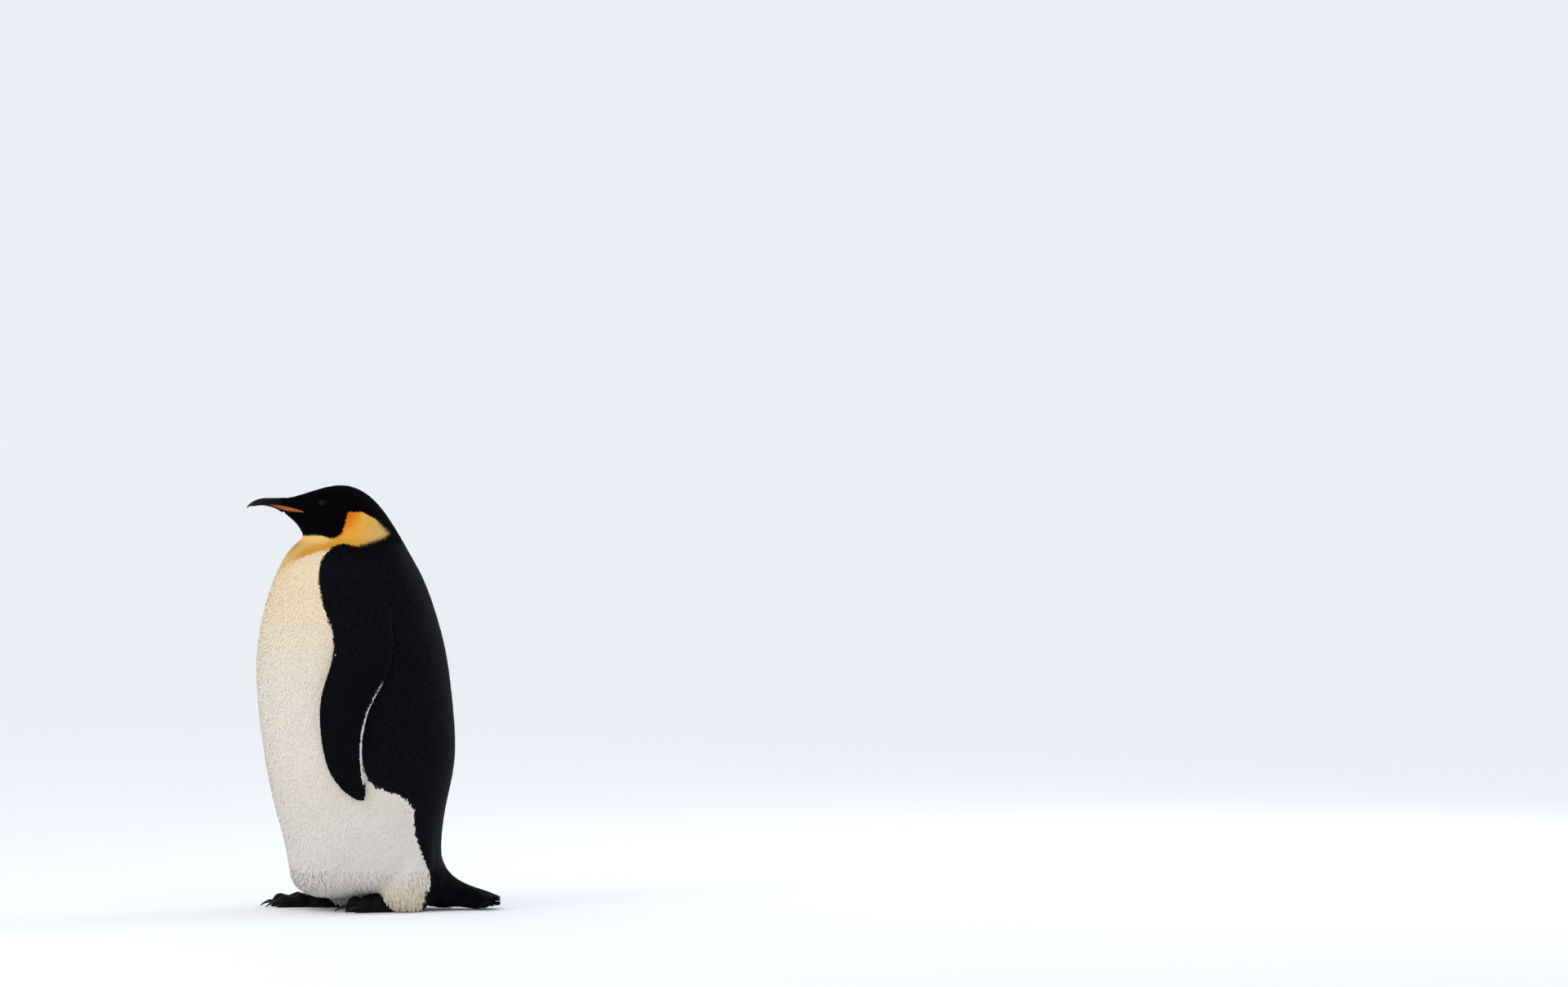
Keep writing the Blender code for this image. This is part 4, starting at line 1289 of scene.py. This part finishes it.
def bed_plate(mesh):
    """Widens a plate and sinks it towards the jaw, so that its outside stands out evenly."""
    points = read_points(mesh)
    _, y, z = points.T
    front, rear = y.min(), y.max()
    middle_line = np.polyval(np.polyfit(y, z, 1), y)
    bulge = np.sin(np.pi * (y - front) / (rear - front))
    points[:, 2] += (z - middle_line) * PLATE_WIDER * bulge
    side = np.sign(points[:, 0])
    places = np.linspace(front, rear, PLATE_PLACES)
    sinks = []
    for place in places:
        near = points[abs(y - place) < 0.002]
        surface = surface_beside(side[0], place, (near[:, 2].min() + near[:, 2].max()) / 2)
        sinks.append(max(abs(near[:, 0]).max() - surface - PLATE_PROUD, 0))
    sinks = np.convolve(np.pad(sinks, 1, "edge"), PLATE_BEND, "valid")
    points[:, 0] -= side * np.interp(y, places, sinks)
    write_points(mesh, points)


salmon = plate_material()
for side in ("left", "right"):
    plate = smooth_copy(f"plate_{side}", f"bill_plate_{side}", 2, 180)
    bed_plate(plate.data)
    dress(plate, salmon)
    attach(plate, "root")
    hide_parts(f"bill_plate_{side}")


# ======================================================================== eyes
# Dark brown eyes, moist and glossy, with a black pupil. Each is a ball set in the side of the face,
# behind the lids, which are the skin's own.


def eye_material(name, centre, outward):
    """Pupil, iris and dark rim, by the distance from the line along which the eye looks out."""
    made, tree, shader = new_material(name, {"Roughness": 0.05, "Specular IOR Level": 0.075})
    place = object_place(tree)
    centred = add_node(tree, "ShaderNodeMapping", {"Vector": place, "Location": -centre})["Vector"]
    crossed = add_node(tree, "ShaderNodeVectorMath", {0: centred, 1: outward}, operation="CROSS_PRODUCT")
    off_axis = add_node(tree, "ShaderNodeVectorMath", {0: crossed["Vector"]}, operation="LENGTH")["Value"]
    dye = ramp(tree, remap(tree, off_axis, (0.0, 0.0070)), [
        (0.0, (0.001, 0.001, 0.001)), (0.36, (0.001, 0.001, 0.001)), (0.42, (0.0075, 0.0030, 0.0016)),
        (0.74, (0.0130, 0.0052, 0.0025)), (0.86, (0.002, 0.001, 0.001)),
    ])
    feed(tree, shader, {"Base Color": mixed(tree, dye, noise(tree, place, 900.0), 0.5, "MULTIPLY")})
    return made


for side, (centre, outward, _, _) in EYES.items():
    bm = bmesh.new()
    bmesh.ops.create_uvsphere(bm, u_segments=40, v_segments=28, radius=EYE_RADIUS)
    bmesh.ops.translate(bm, verts=bm.verts, vec=centre)
    eye = add_object(f"eyeball_{side}", mesh_of(bm, f"eyeball_{side}"))
    dress(eye, eye_material(f"eye_{side}", centre, outward))
    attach(eye, "root")
    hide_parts(f"eye_{side}")


# ======================================================================== feet
# Black feet of scaly skin: a thick shank, three jointed toes with webs between them, and folds
# across the toes. They are rebuilt fine from the CAD feet and stand flat on the floor, and their
# shanks go up into the skirt.
FOOT_GRAIN = 0.0013  # edge of the faces that they are rebuilt from
FOOT_ROUNDS = 14
FOLD_PITCH = 0.0052
FOLD_HEIGHT = 0.00080
FOLD_REACH = 0.0085  # how wide they are, either side of the middle of a toe
FOLD_BEND = 6.0  # by how many folds they bend forwards, for each metre off that
SOLE = 0.0012  # what lies under this height stays as it is


def fold_toes(mesh, side):
    """Raises folds of skin across each toe, and flattens them towards the webs."""
    points = read_points(mesh)
    normals = read_normals(mesh)
    low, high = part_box(f"foot_{side}")
    heel = np.array(((low.x + high.x) / 2, high.y))
    raised = np.zeros(len(points))
    for toe in ("inner", "middle", "outer"):
        claw_low, claw_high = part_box(f"claw_{side}_{toe}")
        end = np.array(((claw_low.x + claw_high.x) / 2, claw_high.y))
        back = heel - end
        back /= np.linalg.norm(back)
        along = (points[:, :2] - end) @ back
        beside = abs((points[:, :2] - end) @ np.array((back[1], -back[0])))
        wave = np.abs(np.sin(np.pi * (along / FOLD_PITCH + FOLD_BEND * beside))) - 0.5
        near = np.exp(-((beside / FOLD_REACH) ** 2)) * smoothstep(-0.002, 0.004, along)
        raised += wave * near
    raised *= smoothstep(0.1, 0.6, normals[:, 2]) * smoothstep(SOLE, 3 * SOLE, points[:, 2])
    write_points(mesh, points + normals * (raised * FOLD_HEIGHT)[:, None])


def foot_material():
    """Black leathery skin, set with small raised scales."""
    made, tree, shader = new_material("foot_skin", {"Roughness": 0.55, "Specular IOR Level": 0.08})
    place = object_place(tree)
    scales = add_node(tree, "ShaderNodeTexVoronoi", {"Vector": place, "Scale": 520.0, "Randomness": 0.7})
    feed(tree, shader, {
        "Base Color": ramp(tree, noise(tree, place, 70.0, 5.0), [
            (0.30, (0.0020, 0.0020, 0.0024)), (0.60, (0.0042, 0.0039, 0.0040)),
            (0.82, (0.0110, 0.0099, 0.0092)),
        ]),
        "Normal": bump(tree, scales["Distance"], 0.7, 0.0005, invert=True),
    })
    return made


foot_skin = foot_material()
for side in ("left", "right"):
    name = f"foot_{side}_skin"
    foot = add_object(name, mesh_of(node_copy([f"foot_{side}"]), name))
    rebuild(foot, FOOT_GRAIN)
    share = smoothstep(SOLE, 3 * SOLE, read_points(foot.data)[:, 2])
    smooth(foot.data, share, FOOT_ROUNDS)
    fold_toes(foot.data, side)
    keep_above(foot.data, 0.0)
    dress(foot, foot_skin)
    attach(foot, "root")
    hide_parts(f"foot_{side}")


# ======================================================================== claws
# Curved claws of black horn, one on each toe. Each is the CAD claw rounded off and filled out
# again, and is seated in the blunt end of its toe.
CLAW_SEAT = 0.004  # how far they go on into the toes
CLAW_NARROWING = 0.12
CLAW_FILL = 0.0007  # what the rounding takes off, given back


def claw_material():
    """Smooth black horn, cloudy with brown."""
    made, tree, shader = new_material("claw_horn", {"Roughness": 0.30, "Specular IOR Level": 0.18})
    dye = ramp(tree, noise(tree, object_place(tree), 240.0), [
        (0.35, (0.0040, 0.0035, 0.0035)), (0.75, (0.0150, 0.0110, 0.0090)),
    ])
    feed(tree, shader, {"Base Color": dye})
    return made


claw_horn = claw_material()
for side in ("left", "right"):
    for toe in ("inner", "middle", "outer"):
        claw = smooth_copy(f"claw_horn_{side}_{toe}", f"claw_{side}_{toe}", 2, 180)
        claw_points = read_points(claw.data)
        write_points(claw.data, claw_points + read_normals(claw.data) * CLAW_FILL)
        seat_root(claw.data, CLAW_SEAT, CLAW_NARROWING)
        dress(claw, claw_horn)
        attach(claw, "root")
        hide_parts(f"claw_{side}_{toe}")


# ======================================================================== stage
# A plain pale floor in soft light from all round, with one large lamp in front and one behind.
# The camera stands far off to the bird's left, with a long lens, and looks down a little.
CAMERA_LENS = 200.0
CAMERA_REACH = 20.5  # its distance from what it looks at
CAMERA_RISE = math.radians(1.2)
CAMERA_AIM = Vector((0.0, 0.963, 0.979))
HORIZON = (0.828, 0.855, 0.903)  # as light as the far floor, so that no line shows between them
ZENITH = (0.96, 0.98, 1.0)
FLOOR_REACH = 400.0

floor_bm = bmesh.new()
bmesh.ops.create_circle(floor_bm, cap_ends=True, segments=96, radius=FLOOR_REACH)
floor = add_object("floor", mesh_of(floor_bm, "floor"))
dress(floor, new_material("pale_floor", {"Base Color": (0.86, 0.87, 0.90, 1.0), "Roughness": 0.9})[0])

world = bpy.data.worlds.new("soft_room")
world.use_nodes = True
bpy.context.scene.world = world
sky = world.node_tree
up_the_sky = one_axis(sky, add_node(sky, "ShaderNodeTexCoord")["Generated"], "Z")
sky_dye = ramp(sky, up_the_sky, [(0.0, HORIZON), (0.04, HORIZON), (0.35, ZENITH)])
feed(sky, sky.nodes["Background"], {"Color": sky_dye})


def lamp(name, place, aim, size, power, colour):
    """A round area light at a place, aimed at another."""
    data = bpy.data.lights.new(name, "AREA")
    data.shape = "DISK"
    data.size = size
    data.energy = power
    data.color = colour
    made = add_object(name, data)
    made.location = place
    made.rotation_euler = (Vector(aim) - Vector(place)).to_track_quat("-Z", "Y").to_euler()


lamp("front_light", (3.2, -3.6, 3.0), (0, 0, 0.6), size=2.6, power=60.0, colour=(1.0, 0.97, 0.93))
lamp("back_light", (-2.4, 3.4, 2.8), (0, 0, 0.7), size=2.0, power=50.0, colour=(0.90, 0.95, 1.0))

camera_data = bpy.data.cameras.new("camera")
camera_data.lens = CAMERA_LENS
camera_data.clip_end = 1000.0
camera = add_object("camera", camera_data)
back = Vector((math.cos(CAMERA_RISE), 0.0, math.sin(CAMERA_RISE)))
camera.location = CAMERA_AIM + back * CAMERA_REACH
camera.rotation_euler = (-back).to_track_quat("-Z", "Y").to_euler()
bpy.context.scene.camera = camera
bpy.context.scene.view_settings.view_transform = "Standard"

for left_over in (contour_feather, tail_feather):
    bpy.data.objects.remove(left_over)
